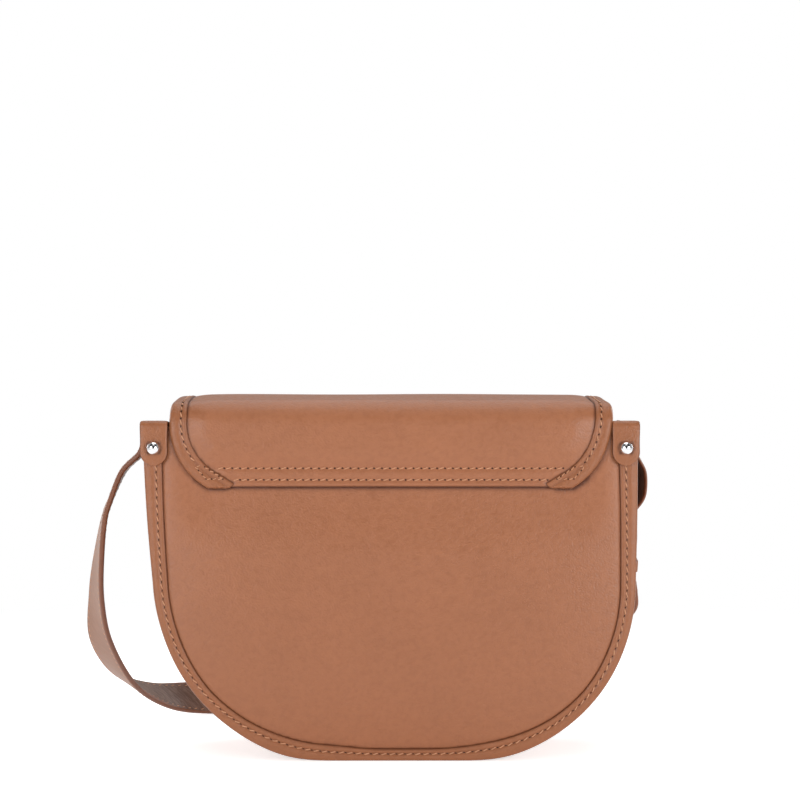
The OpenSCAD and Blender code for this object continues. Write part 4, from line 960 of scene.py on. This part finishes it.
# %% [markdown]
# ## The bridges
# At each side a short leather strip bridges the open end of the gusset and carries the strap. It goes up the
# back, folds over, dips under the strap's weight and comes down the front, with round ends. It is a ring of
# points carried along that path: the ring is a rounded bar, and near both ends its width follows a circle.
# Its cut rim is dark, from the edge's own colour and from painted shade, and a ring of painted shadow lies
# close round the stud.

# %% Bridges
BRIDGE_X, BRIDGE_W, BRIDGE_T, BRIDGE_Y = 116.9, 14.0, 2.6, 40.7
BRIDGE_Z, BRIDGE_R, BRIDGE_DIP, BRIDGE_LOW, STUD_Z = 168.8, 3.2, 6.0, 146.5, 155.2


def bridge_line():
    """The middle line of the strip in y and z, from its back end over the top, which sags along a cosine, to
    its front end."""
    t = BRIDGE_T / 2
    z_end = BRIDGE_LOW + BRIDGE_W / 2 * (1 - np.cos(np.linspace(0.02, np.pi / 2, 14)))
    up = np.concatenate([z_end, np.linspace(BRIDGE_LOW + BRIDGE_W / 2, BRIDGE_Z - BRIDGE_R, 14)[1:]])
    a = np.linspace(0, np.pi / 2, 8)[1:]
    turn = np.stack([BRIDGE_Y - BRIDGE_R + (BRIDGE_R - t) * np.cos(a),
                     BRIDGE_Z - BRIDGE_R + (BRIDGE_R - t) * np.sin(a)], 1)
    y = np.linspace(BRIDGE_Y - BRIDGE_R, 0, 22)[1:]
    sag = BRIDGE_DIP * (1 + np.cos(np.pi * y / (BRIDGE_Y - BRIDGE_R))) / 2
    half = np.vstack([np.stack([np.full(len(up), BRIDGE_Y - t), up], 1), turn,
                      np.stack([y, BRIDGE_Z - t - sag], 1)])
    return np.vstack([half, (half * [-1, 1])[-2::-1]])


def bar_ring(n, corner):
    """A rounded bar's ring with unit half sizes: cosine and sine, each raised to a small power, which
    pushes the circle out towards its square."""
    a = (np.arange(n) + 0.5) * 2 * np.pi / n
    c, s = np.cos(a), np.sin(a)
    return np.sign(c) * np.abs(c) ** corner, np.sign(s) * np.abs(s) ** (corner * 1.6)


def bridge(name, x, node):
    """The rounded bar carried along the middle line; its half width is a circle's near both ends. The front
    corner is lowered by 2.4 mm."""
    line = bridge_line()
    tangent = unit(np.gradient(line, axis=0))
    normal = np.stack([tangent[:, 1], -tangent[:, 0]], 1)
    from_end = np.where(np.abs(line[:, 0]) > BRIDGE_Y - BRIDGE_R / 2, line[:, 1] - BRIDGE_LOW, 99)
    half = np.sqrt(np.clip((BRIDGE_W / 2) ** 2 - np.clip(BRIDGE_W / 2 - from_end, 0, None) ** 2, 0.02, None))
    half = np.minimum(half, BRIDGE_W / 2) * (1 - 0.035 * np.exp(-((line[:, 1] - 158) / 6) ** 2))
    u, v = bar_ring(40, 0.34)
    out = normal[:, None] * (v * BRIDGE_T / 2)[None, :, None]
    across = x + half[:, None] * u
    lowered = 2.4 * ease(-line[:, :1], 14, 34) * (line[:, 1:] > BRIDGE_LOW + 8)
    points = np.stack([across, line[:, :1] + out[..., 0], line[:, 1:] + out[..., 1] - lowered], -1)
    # Painted shadow in a ring round the stud, and a dark rim: the cut edge's colour and painted shade.
    near = np.exp(-((np.hypot(across - x, points[..., 2] - STUD_Z) - 3.6) / 0.6) ** 2)
    rim = 0.95 * ease(np.abs(u), 0.93, 0.995) + 0 * across
    shade = np.clip(0.95 * near * (np.abs(points[..., 1]) > 38) + rim, 0, 1)
    return make_piece(name, points, tube_faces(*points.shape[:2]), binding_leather, slot="body_leather",
                      stands_for=[node], shade=shade)


bridge("left_bridge_strip", BRIDGE_X, "left_bridge")
bridge("right_bridge_strip", -BRIDGE_X, "right_bridge")
print("bridge is", BRIDGE_W, "x", BRIDGE_T, "mm")

# %% [markdown]
# ## The studs
# A polished ball stud holds each end of a bridge: a post through leather and lining, a thin collar and a
# domed head. Studs are turned parts, so each is a profile spun round its own axis. A washer inside spreads
# the pull; it keeps the solid model's shape.

# %% Studs
def studs():
    """Each stud: radius against height from the post over a collar to the ball, spun in 32 steps."""
    a = np.linspace(-0.15, np.pi / 2 - 0.03, 14)
    ball = np.stack([3.4 * np.cos(a), BRIDGE_Y + 0.55 + 3.0 * np.sin(a)], 1)
    profile = np.vstack([[(0.05, 31.4), (1.2, 31.4), (1.2, BRIDGE_Y), (2.9, BRIDGE_Y + 0.02)], ball])
    t = np.arange(32) * 2 * np.pi / 32
    r, y = profile[:, :1], profile[:, 1:]
    rings = [np.stack([x + r * np.cos(t), side * (y + 0 * t), STUD_Z + r * np.sin(side * t)], -1)
             for x in (BRIDGE_X, -BRIDGE_X) for side in (1, -1)]
    parts = [(ring.reshape(-1, 3), tube_faces(len(profile), len(t))) for ring in rings]
    return make_piece("ball_studs", *joined(parts), nickel, slot="nickel", stands_for=["bridge_studs"])


studs()
print("four studs stand at z =", STUD_Z)

# %% [markdown]
# ## The long strap
# The strap is two plies of leather glued and sewn, 18 mm wide and 2.8 mm thick, with painted edges. It is
# modelled directly, as webbing is: a flat bar carried along a route, with the direction across the strap
# given at each point, so it can twist. From its sewn loop on the left bridge it drops in a wide curve, turns
# on its edge, runs along the floor in two bends, rises, and passes through the buckle, where its end lies
# flat on the short strap. The points are those of the solid model's route, drawn in by up to 2 mm at the
# left, where the real strap hangs a little closer. A strap that falls in a simulation would find its own
# route, but not this one, so the route is listed point by point.

# %% Route of the long strap
STRAP_W, STRAP_T, SHORT_T = 18.0, 2.8, 1.6
HANG_A, HANG_B = np.radians(12), np.radians(2.2)
BRIDGE_MID_Z = BRIDGE_Z - BRIDGE_DIP
hang_t = np.array([-np.sin(HANG_B), np.cos(HANG_B) * np.sin(HANG_A), np.cos(HANG_B) * np.cos(HANG_A)])
hang_w = np.array([0.0, -np.cos(HANG_A), np.sin(HANG_A)])
hang_n = np.cross(hang_t, hang_w)


def hang_point(out, s):
    """A point at a distance outwards and a height along the strap's right end."""
    out, s = np.asarray(out, float), np.asarray(s, float)
    return np.array([-BRIDGE_X, 0, BRIDGE_MID_Z]) + hang_t * s[..., None] - hang_n * out[..., None]


DROP, BUCKLE_L, TONGUE_L, WIRE_D, BAR_OUT = 90.0, 16.0, 42.0, 2.4, 8.9
UNDER_OUT = 6.0
turn = np.radians(np.linspace(-90, -270, 9))
left_loop = np.vstack([[(5.6, -6.56), (1.4, -5.16)],
                       np.stack([-6.4 + 3.9 * np.cos(turn), -0.7 + 3.9 * np.sin(turn)], 1),
                       [(1.4, 3.2), (7.6, 2.5), (9.1, -0.7)]])
left_start = np.stack([BRIDGE_X + left_loop[:, 0], 0 * left_loop[:, 0], BRIDGE_MID_Z + left_loop[:, 1],
                       0 * left_loop[:, 0], 0 * left_loop[:, 0] - 1, 0 * left_loop[:, 0]], 1)
body_size = np.array([123.0, 38.0, MOUTH_Z, 1, 1, 1])
drop_rows = body_size * np.array([
    [1.0385, 0, 0.921, 0.02, -1, 0], [1.122, -0.08, 0.856, 0.05, -1, 0], [1.196, -0.24, 0.737, 0.15, -1, 0],
    [1.239, -0.5, 0.592, 0.3, -0.95, 0], [1.267, -0.87, 0.447, 0.45, -0.88, 0.03],
    [1.266, -1.32, 0.293, 0.68, -0.72, -0.03], [1.194, -1.97, 0.154, 0.7, -0.6, 0.27],
    [1.068, -2.58, 0.08, 0.5, -0.62, 0.6]])
floor_places = np.array([
    [0.878, -2.97], [0.602, -3], [0.203, -2.63], [-0.146, -2.45], [-0.341, -2.58], [-0.455, -3.03],
    [-0.366, -3.53], [-0.146, -3.71], [0.325, -3.71], [0.667, -3.87], [0.797, -4.42], [0.65, -4.97],
    [0.244, -5.11], [-0.325, -5.05], [-0.7, -4.68], [-0.829, -4.1], [-0.789, -3.6], [-0.683, -3.1],
    [-0.61, -2.66], [-0.593, -2.21], [-0.63, -1.76]]) * body_size[:2]
floor_rows = np.hstack([floor_places, np.tile([STRAP_W / 2 + 0.2, 0, 0, 1], (len(floor_places), 1))])
floor_rows[0, 3:] = 0.1, -0.3, 0.95
rise_rows = body_size * np.array([
    [-0.671, -1.48, 0.0604, 0.28, 0.15, 0.94], [-0.732, -1.24, 0.0755, 0.5, 0.38, 0.78],
    [-0.809, -1.02, 0.109, 0.62, 0.7, 0.36], [-0.886, -0.83, 0.166, 0.4, 0.91, -0.05],
    [-0.939, -0.7, 0.242, 0.1, 0.97, -0.2]])
straight_l = DROP + BUCKLE_L * 1.35
lead_rows = np.hstack([hang_point([UNDER_OUT] * 2, [-straight_l - BUCKLE_L / 4, -straight_l]),
                       np.tile(-hang_w, (2, 1))])
route = np.vstack([drop_rows, floor_rows, rise_rows, lead_rows])
tongue = np.array([(UNDER_OUT, -straight_l), (UNDER_OUT, -108.4), (6.1, -104.88), (10.0, -98), (13.9, -91.28),
                   (13.4, -83.6), (12.3, -76.4), (11.85, -69.2), (11.75, -DROP + TONGUE_L)])

STEPS = 8
to_buckle = np.vstack([curve_through(np.vstack([left_start, drop_rows[:3]]), STEPS),
                       curve_through(route, STEPS)[2 * STEPS + 1:]])
print("long strap:", len(to_buckle), "rows from its loop to the buckle")

# %% [markdown]
# ### The strap's body
# A strap's cross-section is flat with rounded, painted edges. The piece is a wall between an upper and a
# lower grid: across the strap the half thickness stays full and then falls off along an ellipse in the last
# 1.3 mm. Holes and the buckle's slot are cells left out, and the corners round a hole are moved onto a
# circle. Outer face, inner face and edge each get their own leather.

# %% Strap helper
HALF_W, EDGE_ROUND, SEAM_OFFSET, HOLE_R = STRAP_W / 2, 1.3, 6.7, 1.7
half_columns = np.array([0, HOLE_R / 2, HOLE_R, 2.6, 4.0, 5.6, 7.0, 7.7, 8.0, 8.3, 8.6, 8.82, 8.95, HALF_W])
COLUMNS = np.concatenate([-half_columns[:0:-1], half_columns])


def strap_piece(name, places, leans, thickness, half_widths, along, slot_rows, slot_half, holes=(),
                seams=True, grain_below=-np.inf, **placing):
    """A flat bar with rounded edges: place + across * x +- normal * h(x), where h is the half thickness
    times sqrt(1 - 0.88 * t ** 2), and t goes from 0 to 1 over the rounded edge, so a third is left at its
    end. The thickness may differ from row to row."""
    half_thick = np.broadcast_to(np.asarray(thickness, float) / 2, len(places))[:, None]
    forward = unit(np.gradient(places, axis=0))
    wide = unit(leans - forward * (leans * forward).sum(1, keepdims=True))
    thick = np.cross(forward, wide)
    share = COLUMNS / HALF_W
    x = half_widths[:, None] * share
    s = along[:, None] + 0 * x
    for centre in holes:
        inside = (np.abs(x) <= HOLE_R + 1e-6) & (np.abs(s - centre) <= HOLE_R + 1e-6)
        rim = inside & (np.maximum(np.abs(x), np.abs(s - centre)) > HOLE_R - 1e-3)
        reach = np.maximum(np.hypot(x, s - centre), 1e-6)
        x = np.where(rim, x * HOLE_R / reach, x)
        s = np.where(rim, centre + (s - centre) * HOLE_R / reach, s)
    moved = s - along[:, None]
    flat = 1 - EDGE_ROUND / HALF_W
    fall = np.clip((np.abs(share) - flat) / (1 - flat), 0, 1)
    h = half_thick * np.sqrt(1 - 0.88 * fall ** 2)
    middle = places[:, None] + wide[:, None] * x[..., None] + forward[:, None] * moved[..., None]
    upper, lower = (middle + sign * thick[:, None] * h[..., None] for sign in (1, -1))
    rows, cols = x.shape
    keep = np.ones((rows - 1, cols - 1), bool)
    mid_x, mid_s = np.abs(share[:-1] + share[1:]) / 2 * HALF_W, (along[:-1] + along[1:]) / 2
    for centre in holes:
        keep &= ~((np.abs(mid_s - centre) < HOLE_R)[:, None] & (mid_x < HOLE_R))
    keep &= ~(((mid_s > slot_rows[0]) & (mid_s < slot_rows[1]))[:, None] & (mid_x < slot_half))
    faces = wall_faces(rows, cols, keep)
    kept = int(keep.sum())
    column = np.broadcast_to(np.arange(cols - 1), keep.shape)[keep]
    edge_cell = (mid_x > HALF_W * flat)[column]
    run = np.concatenate([[0], np.cumsum(np.linalg.norm(np.diff(places, axis=0), axis=1))])
    row = np.broadcast_to(np.arange(rows - 1)[:, None], keep.shape)[keep]
    below = mid_s[row] < grain_below
    kinds = np.concatenate([np.where(edge_cell, 2, np.where(below, 1, 0)),
                            np.where(edge_cell, 2, np.where(below, 0, 1)), np.full(len(faces) - 2 * kept, 2)])
    points = np.concatenate([upper.reshape(-1, 3), lower.reshape(-1, 3)])
    flat_map = np.tile(np.stack([run[:, None] + 0 * x, x], -1).reshape(-1, 2), (2, 1))
    make_piece(name, points, faces, [strap_leather, flesh_leather, edge_paint], face_material=kinds,
               flat_map=flat_map, **placing)
    if seams:
        for sign, label in ((1, "upper"), (-1, "lower")):
            lines = []
            for offset in (-SEAM_OFFSET, SEAM_OFFSET):
                seam = places + wide * offset + sign * thick * (half_thick - 0.02)
                lines.append((seam, sign * thick, 2, 2 + HALF_W))
            sew(f"{name}_{label}_seam", lines, pitch=4.0, slot="strap_leather", size=0.8, lift=-0.22)


print("the strap's edge is rounded over", EDGE_ROUND, "mm")

# %% [markdown]
# ### The long strap, with its holes and slot
# The tongue has a round tip, two holes, and a slot where the buckle's prong comes up. Rows of the grid are
# placed so that each hole gets a ring of corners of its own. At the buckle the strap turns over, so from
# there to the tip its grain side is the other one, and the tongue is thinned so that it bends easily.

# %% Long strap
def tip_half_widths(along, tip):
    """Half the strap's width: full, and near the round tip the circle's."""
    back = np.clip(HALF_W - (tip - along), 0, HALF_W - 0.1)
    return np.sqrt(HALF_W ** 2 - back ** 2)


HOLES, SLOT, ROW_STEP = (-76.0, -62.0), (-102.0, -87.9), 1.2
tip_s = -DROP + TONGUE_L
tip_rows = tip_s - HALF_W + HALF_W * np.sin(np.linspace(0.1, np.pi / 2 - 0.02, 14))
round_hole = HOLE_R * np.array([-2.2, -1, -0.5, 0, 0.5, 1, 2.2])
s_rows = np.concatenate([np.arange(-straight_l + ROW_STEP, tip_s - HALF_W, ROW_STEP), tip_rows, SLOT,
                         *[hole + round_hole for hole in HOLES]])
s_rows = np.unique(np.round(s_rows, 3))
clear = np.all([np.abs(s_rows - hole) > HOLE_R * 2.2 + 0.3 for hole in HOLES], axis=0)
at_hole = np.any([np.isclose(s_rows[:, None], hole + round_hole, atol=2e-3).any(1) for hole in HOLES], axis=0)
s_rows = s_rows[clear | at_hole]
dense = curve_through(tongue, 40)
tongue_rows = np.hstack([hang_point(np.interp(s_rows, dense[:, 1], dense[:, 0]), s_rows),
                         np.tile(-hang_w, (len(s_rows), 1))])
line = np.vstack([to_buckle, tongue_rows])
# Rows before the buckle get places far below every hole, so no hole or slot is cut there.
along = np.concatenate([np.linspace(-1300, -straight_l, len(to_buckle)), s_rows])
thinned = STRAP_T * (1 - 0.3 * ease(along, -84, -70))
strap_piece("long_strap_leather", line[:, :3], line[:, 3:], thinned, tip_half_widths(along, tip_s), along,
            SLOT, HOLE_R, holes=HOLES, grain_below=-100, slot="strap_leather", stands_for=["long_strap"])
strap_length = np.linalg.norm(np.diff(line[:, :3], axis=0), axis=1).sum()
print("long strap: real length", round(float(strap_length)), "mm in", len(line), "rows")

# %% [markdown]
# ## The short strap
# On the right a thinner strip loops over the bridge, bulges, hangs down in two layers through a fixed keeper,
# and folds round the buckle's upper bar. Its path is a flat curve in the frame of the hanging strap, given as
# distance outwards and height. Where the outer layer bulges, the photograph shows it turned by 18 degrees.

# %% Short strap
FOLD_R, LOOP_MID, LOOP_R = 2.3, -0.7, 4.871
bridge_a = np.radians(np.linspace(-90, -270, 13))
bridge_turn = np.stack([-7 + LOOP_R * np.cos(bridge_a), LOOP_MID + LOOP_R * np.sin(bridge_a)], 1)
bar_a = np.radians(np.linspace(0, -180, 13))
bar_turn = np.stack([BAR_OUT + FOLD_R * np.cos(bar_a), -DROP + FOLD_R * np.sin(bar_a)], 1)
short_line = np.vstack([
    curve_through([(7.95, -47), (7.95, -28.2), (7.95, -18.2), (7.87, -14), (6.67, -10.64), (4.11, -6.77),
                   (1.4, -5.67), (-2.8, -5.57), bridge_turn[0]], 5),
    bridge_turn[1:-1],
    curve_through([bridge_turn[-1], (-1.4, 4.17), (3.5, 4.27), (7, 4.17), (8.3, 3.37), (8.4, -0.7),
                   (8.4, -7.17), (10.2, -13.5), (12.3, -20), (12.9, -27.5), (12.1, -34.5), (9.75, -41.2),
                   (9.75, -47), (9.75, -64.4), (9.75, -74), (10.67, -83.6), bar_turn[0]], 5),
    bar_turn[1:-1],
    curve_through([bar_turn[-1], (7.13, -83.6), (8.05, -74)], 5)])
short_places = hang_point(short_line[:, 0], short_line[:, 1])
outer_layer = ease(np.arange(len(short_line)), 70, 84)
turned = np.radians(18) * outer_layer * ease(-short_line[:, 1], 6, 20) * ease(short_line[:, 1], -42, -30)
short_lean = hang_w * np.cos(turned)[:, None] + hang_n * np.sin(turned)[:, None]
level = ease(short_line[:, 1], 0, 3.5) * (1 - 0.6 * np.exp(-((short_line[:, 0] - 1) / 1.6) ** 2))
short_lean = short_lean + level[:, None] * (np.array([0, -1, 0]) - hang_w)
strap_piece("short_strap_leather", short_places, short_lean, SHORT_T, np.full(len(short_places), HALF_W),
            short_line[:, 1], (-99, -87.7), 2.6, seams=False, slot="strap_leather",
            stands_for=["short_strap"])
print("short strap line of", len(short_line), "points")

# %% [markdown]
# ## Keepers and buckle
# The two keepers are closed bands of leather. One is fixed and one slides, to hold the tongue. The buckle is
# one bent and soldered wire, and its prong keeps the solid model's shape. Band and wire alike are a small
# ring carried round a rounded rectangle, so one function makes them all.

# %% Keepers and buckle
def rounded_path(half_x, low, high, radius, n=8):
    """A rectangle with round corners, |x| up to half_x and out from low to high, as a closed line."""
    corners = [(half_x - radius, high - radius, 0), (-half_x + radius, high - radius, 90),
               (-half_x + radius, low + radius, 180), (half_x - radius, low + radius, 270)]
    return np.vstack([np.stack([x + radius * np.cos(a), y + radius * np.sin(a)], 1) for x, y, a in (
        (x, y, np.radians(t + np.linspace(0, 90, n))) for x, y, t in corners)])


def closed_band(name, path, ring, where, material, **placing):
    """A ring of two offsets carried round a closed path: path + normal * first offset, and the second offset
    square to the path's plane. The function where turns both into a point of the hanging strap's frame."""
    ahead = np.roll(path, -1, 0) - np.roll(path, 1, 0)
    normal = unit(np.stack([ahead[:, 1], -ahead[:, 0]], 1))
    flat = path[:, None] + normal[:, None] * ring[0][None, :, None]
    points = hang_point(*where(flat[..., 1], ring[1][None, :] + 0 * flat[..., 1])) + hang_w * flat[..., :1]
    return make_piece(name, points, tube_faces(*points.shape[:2], closed=True), material, **placing)


KEEPER_T, KEEPER_H, INSIDE = 0.7, 6.0, HALF_W + 0.3
u, v = bar_ring(16, 0.4)
for name, low_s, low, high, body, node in (
        ("fixed_keeper_band", -41, 7.05, 10.65, "bag", "fixed_keeper"),
        ("sliding_keeper_band", -66, 8.65, 13.1, "keeper", "sliding_keeper")):
    path = rounded_path(INSIDE + KEEPER_T / 2, low - KEEPER_T / 2, high + KEEPER_T / 2, 0.6, 5)
    closed_band(name, path, (u * KEEPER_T / 2, v * KEEPER_H / 2),
                lambda out, up: (out, low_s - KEEPER_H / 2 + up), binding_leather, body=body,
                slot="binding_leather", stands_for=[node])

a = np.arange(16) * np.pi / 8
path = rounded_path(INSIDE + WIRE_D / 2, -DROP - BUCKLE_L, -DROP, 2.4, 9)
closed_band("buckle_wire", path, (WIRE_D / 2 * np.cos(a), WIRE_D / 2 * np.sin(a)),
            lambda up, out: (BAR_OUT + out, up), nickel, slot="nickel", stands_for=["buckle_frame"])
print("two keepers and a buckle of", WIRE_D, "mm wire")

# %% [markdown]
# ## The mouth binding, linings and pockets
# The front wall's upper edge is covered by a strip folded over it: a round-backed profile carried straight
# across. The cloth lining of the back leans with its wall, so it is a copy of the solid lining whose corners
# are sheared in the same way.

# %% Mouth binding and linings
MOUTH_HALF = 109.5


def mouth_binding():
    """A folded strip across the front wall's edge: its side profile in y and z at a row of x places."""
    profile = np.array([(-38.0, 157.8), (-38.05, 160), (-38.0, 164.5), (-37.4, 166.4), (-36.0, 167.0),
                        (-33.0, 167.0), (-31.6, 166.4), (-31.0, 164.5), (-31.0, 160), (-31.1, 157.8),
                        (-31.8, 157.7), (-32.3, 158.4), (-32.3, 165.5), (-36.7, 165.5), (-36.7, 158.4),
                        (-37.3, 157.7)])
    ring = curve_through(profile, 2, closed=True)
    x = np.linspace(-MOUTH_HALF, MOUTH_HALF, 60)[:, None]
    points = np.stack(np.broadcast_arrays(x, ring[:, 0], ring[:, 1]), -1)
    return make_piece("mouth_binding_strip", points, tube_faces(*points.shape[:2]), binding_leather,
                      slot="binding_leather", stands_for=["mouth_binding"])


def merged_copy(node):
    """Points in millimetres and triangles of a solid piece, with equal points merged into one."""
    mesh = nodes[node].data
    co = np.zeros(len(mesh.vertices) * 3)
    mesh.vertices.foreach_get("co", co)
    tri = np.zeros(len(mesh.polygons) * 3, int)
    mesh.polygons.foreach_get("vertices", tri)
    points, number = np.unique(np.round(co.reshape(-1, 3) / MM, 3), axis=0, return_inverse=True)
    return points, number.ravel()[tri].reshape(-1, 3)


mouth_binding()
points, faces = merged_copy("back_lining")
share = np.clip(np.abs(points[:, 0]) / np.maximum(half_width(points[:, 2]), 1), 0, 1) ** 4
moved = leaned(points)
moved[:, 0] = points[:, 0] + (moved[:, 0] - points[:, 0]) * share
make_piece("back_lining_cloth", moved, faces, lining_cloth, slot="lining_cloth", stands_for=["back_lining"],
           smooth=False)
print("back lining of", len(faces), "triangles")

# %% [markdown]
# ## Parts that keep the solid model's shape
# Boards, pockets, the zip, the snap, the prong and the washers are hidden or plain, so their solid shape is
# good enough. Each only gets its real material.

# %% Materials of the solid pieces
finishes = {
    "front_lining": lining_cloth, "slip_pocket": lining_cloth, "zip_pocket": lining_cloth,
    "back_board": fibre_board, "front_board": fibre_board, "flap_board": fibre_board,
    "base_board": backing_leather, "zip_frame": wall_leather, "zip_tape": zip_tape_cloth,
    "zip_teeth": nickel, "zip_slider": cast_metal, "zip_puller": cast_metal,
    "snap_socket": nickel, "snap_socket_plate": steel, "snap_stud": nickel, "snap_stud_plate": steel,
    "stud_washers": steel, "buckle_prong": nickel}
for node, material in finishes.items():
    nodes[node].data.materials.clear()
    nodes[node].data.materials.append(material)
print(len(finishes), "solid pieces keep their shape")

# %% [markdown]
# ## Floor
# The bag stands on a seamless white floor. A photographer lights the paper until it is pure white. Here the
# floor adds a little light of its own, which only the camera and mirroring metal see, so that it reaches
# white while a faint shadow of the bag stays.

# %% Floor
def studio_floor():
    """A square of 16 m, white. A glow that only the camera and metal see lifts it to white near the bag, and
    further off it is seen as plain white, like the sweep of paper that it stands for."""
    corners = [(-8, -8, 0), (8, -8, 0), (8, 8, 0), (-8, 8, 0)]
    mesh = bpy.data.meshes.new("studio_floor")
    mesh.from_pydata(corners, [], [(0, 1, 2, 3)])
    material, tree, surface = new_material("matt_white_floor")
    put(tree, surface, {"Base Color": linear("#F4F4F4"), "Roughness": 0.9, "Specular IOR Level": 0.1})
    path = add(tree, "LightPath")
    to_camera = add(tree, "Math", {0: path.outputs["Is Camera Ray"], 1: path.outputs["Is Glossy Ray"]},
                    operation="MAXIMUM").outputs[0]
    strength = add(tree, "Math", {0: to_camera, 1: 0.6}, operation="MULTIPLY")
    glow = add(tree, "Emission", {"Color": (1, 1, 1, 1), "Strength": strength.outputs[0]})
    near = add(tree, "AddShader", {0: surface.outputs[0], 1: glow.outputs[0]})
    place = add(tree, "TexCoord").outputs["Object"]
    away = add(tree, "VectorMath", {0: place}, operation="LENGTH").outputs["Value"]
    far = add(tree, "MapRange", {"Value": away, "From Min": 0.3, "From Max": 0.75},
              interpolation_type="SMOOTHSTEP")
    share = add(tree, "Math", {0: far.outputs["Result"], 1: to_camera}, operation="MULTIPLY")
    white = add(tree, "Emission", {"Color": (1, 1, 1, 1), "Strength": 1.0})
    both = add(tree, "MixShader", {0: share.outputs[0], 1: near.outputs[0], 2: white.outputs[0]})
    put(tree, tree.nodes["Material Output"], {"Surface": both.outputs[0]})
    mesh.materials.append(material)
    floor = bpy.data.objects.new("studio_floor", mesh)
    bpy.context.scene.collection.objects.link(floor)
    floor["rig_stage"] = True


studio_floor()

# %% [markdown]
# ## Room light
# A bright room lights the bag softly from all sides. It is dimmer high on the camera's side, as the dark end
# of a studio is. That gives the polished studs something dark to mirror.

# %% World
def studio_world(level):
    """White to the camera and through glass; a softer level as light and in reflections. Where the product of
    the direction and (0, 0.75, 0.66) rises from 0.4 to 0.85, the light falls smoothly to a fifth."""
    world = bpy.data.worlds.new("white_studio")
    bpy.context.scene.world = world
    world.use_nodes = True
    tree = world.node_tree
    path = add(tree, "LightPath")
    seen = add(tree, "Math", {0: path.outputs["Is Camera Ray"], 1: path.outputs["Is Transmission Ray"]},
               operation="MAXIMUM")
    bright = add(tree, "MapRange", {"Value": seen.outputs[0], "To Min": level, "To Max": 1.0})
    way = add(tree, "TexCoord").outputs["Generated"]
    up = add(tree, "VectorMath", {0: way, 1: (0, 0.75, 0.66)}, operation="DOT_PRODUCT").outputs["Value"]
    dim = add(tree, "MapRange", {"Value": up, "From Min": 0.4, "From Max": 0.85, "To Min": 1.0,
                                 "To Max": 0.2}, interpolation_type="SMOOTHSTEP").outputs["Result"]
    high = add(tree, "Math", {0: dim, 1: path.outputs["Is Camera Ray"]}, operation="MAXIMUM")
    strength = add(tree, "Math", {0: bright.outputs["Result"], 1: high.outputs[0]}, operation="MULTIPLY")
    put(tree, tree.nodes["Background"], {"Color": (1, 1, 1, 1), "Strength": strength.outputs[0]})


studio_world(0.41)
print("room light at 0.41 of white")

# %% [markdown]
# ## Softboxes
# A large softbox at each side of the camera gives the leather its shine along the edges. Weaker ones overhead
# light the flap's top and the studs, and those in front light the side that the camera doesn't see. One large
# lamp could do, but the two shines at the sides tell the eye that the leather is satin.

# %% Softboxes
def softbox(name, place, target, width, height, watts):
    """A rectangle of light at a place, facing a target."""
    data = bpy.data.lights.new(name, "AREA")
    data.shape, data.size, data.size_y, data.energy = "RECTANGLE", width, height, watts
    lamp = bpy.data.objects.new(name, data)
    lamp.location = place
    lamp.rotation_euler = (Vector(target) - Vector(place)).to_track_quat("-Z", "Y").to_euler()
    bpy.context.scene.collection.objects.link(lamp)


softbox("softbox_left", (0.93, 1.36, 0.33), (0, 0, 0.1), 0.8, 0.9, 13)
softbox("softbox_right", (-0.98, 1.33, 0.33), (0, 0, 0.1), 0.8, 0.9, 15.5)
softbox("softbox_overhead", (0, 0, 1.45), (0, 0, 0), 1.0, 0.7, 5)
softbox("softbox_over_the_camera", (0, 0.75, 1.2), (0, 0, 0.15), 0.6, 0.3, 1.0)
softbox("softbox_over_the_front", (0, -0.8, 1.25), (0, 0, 0.15), 1.4, 0.7, 4)
softbox("softbox_front_left", (1.3, -0.95, 0.6), (0, 0, 0.1), 0.8, 0.9, 9)
softbox("softbox_front_right", (-1.3, -0.95, 0.6), (0, 0, 0.1), 0.8, 0.9, 9)
bpy.context.scene.view_settings.view_transform = "Standard"
print(len(bpy.data.lights), "softboxes")

# %% Sizes, and finish
pieces = [o for o in bpy.data.objects if o.type == "MESH" and "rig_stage" not in o and not o.hide_render]
print(len(pieces), "pieces,", sum(len(o.data.polygons) for o in pieces), "faces")
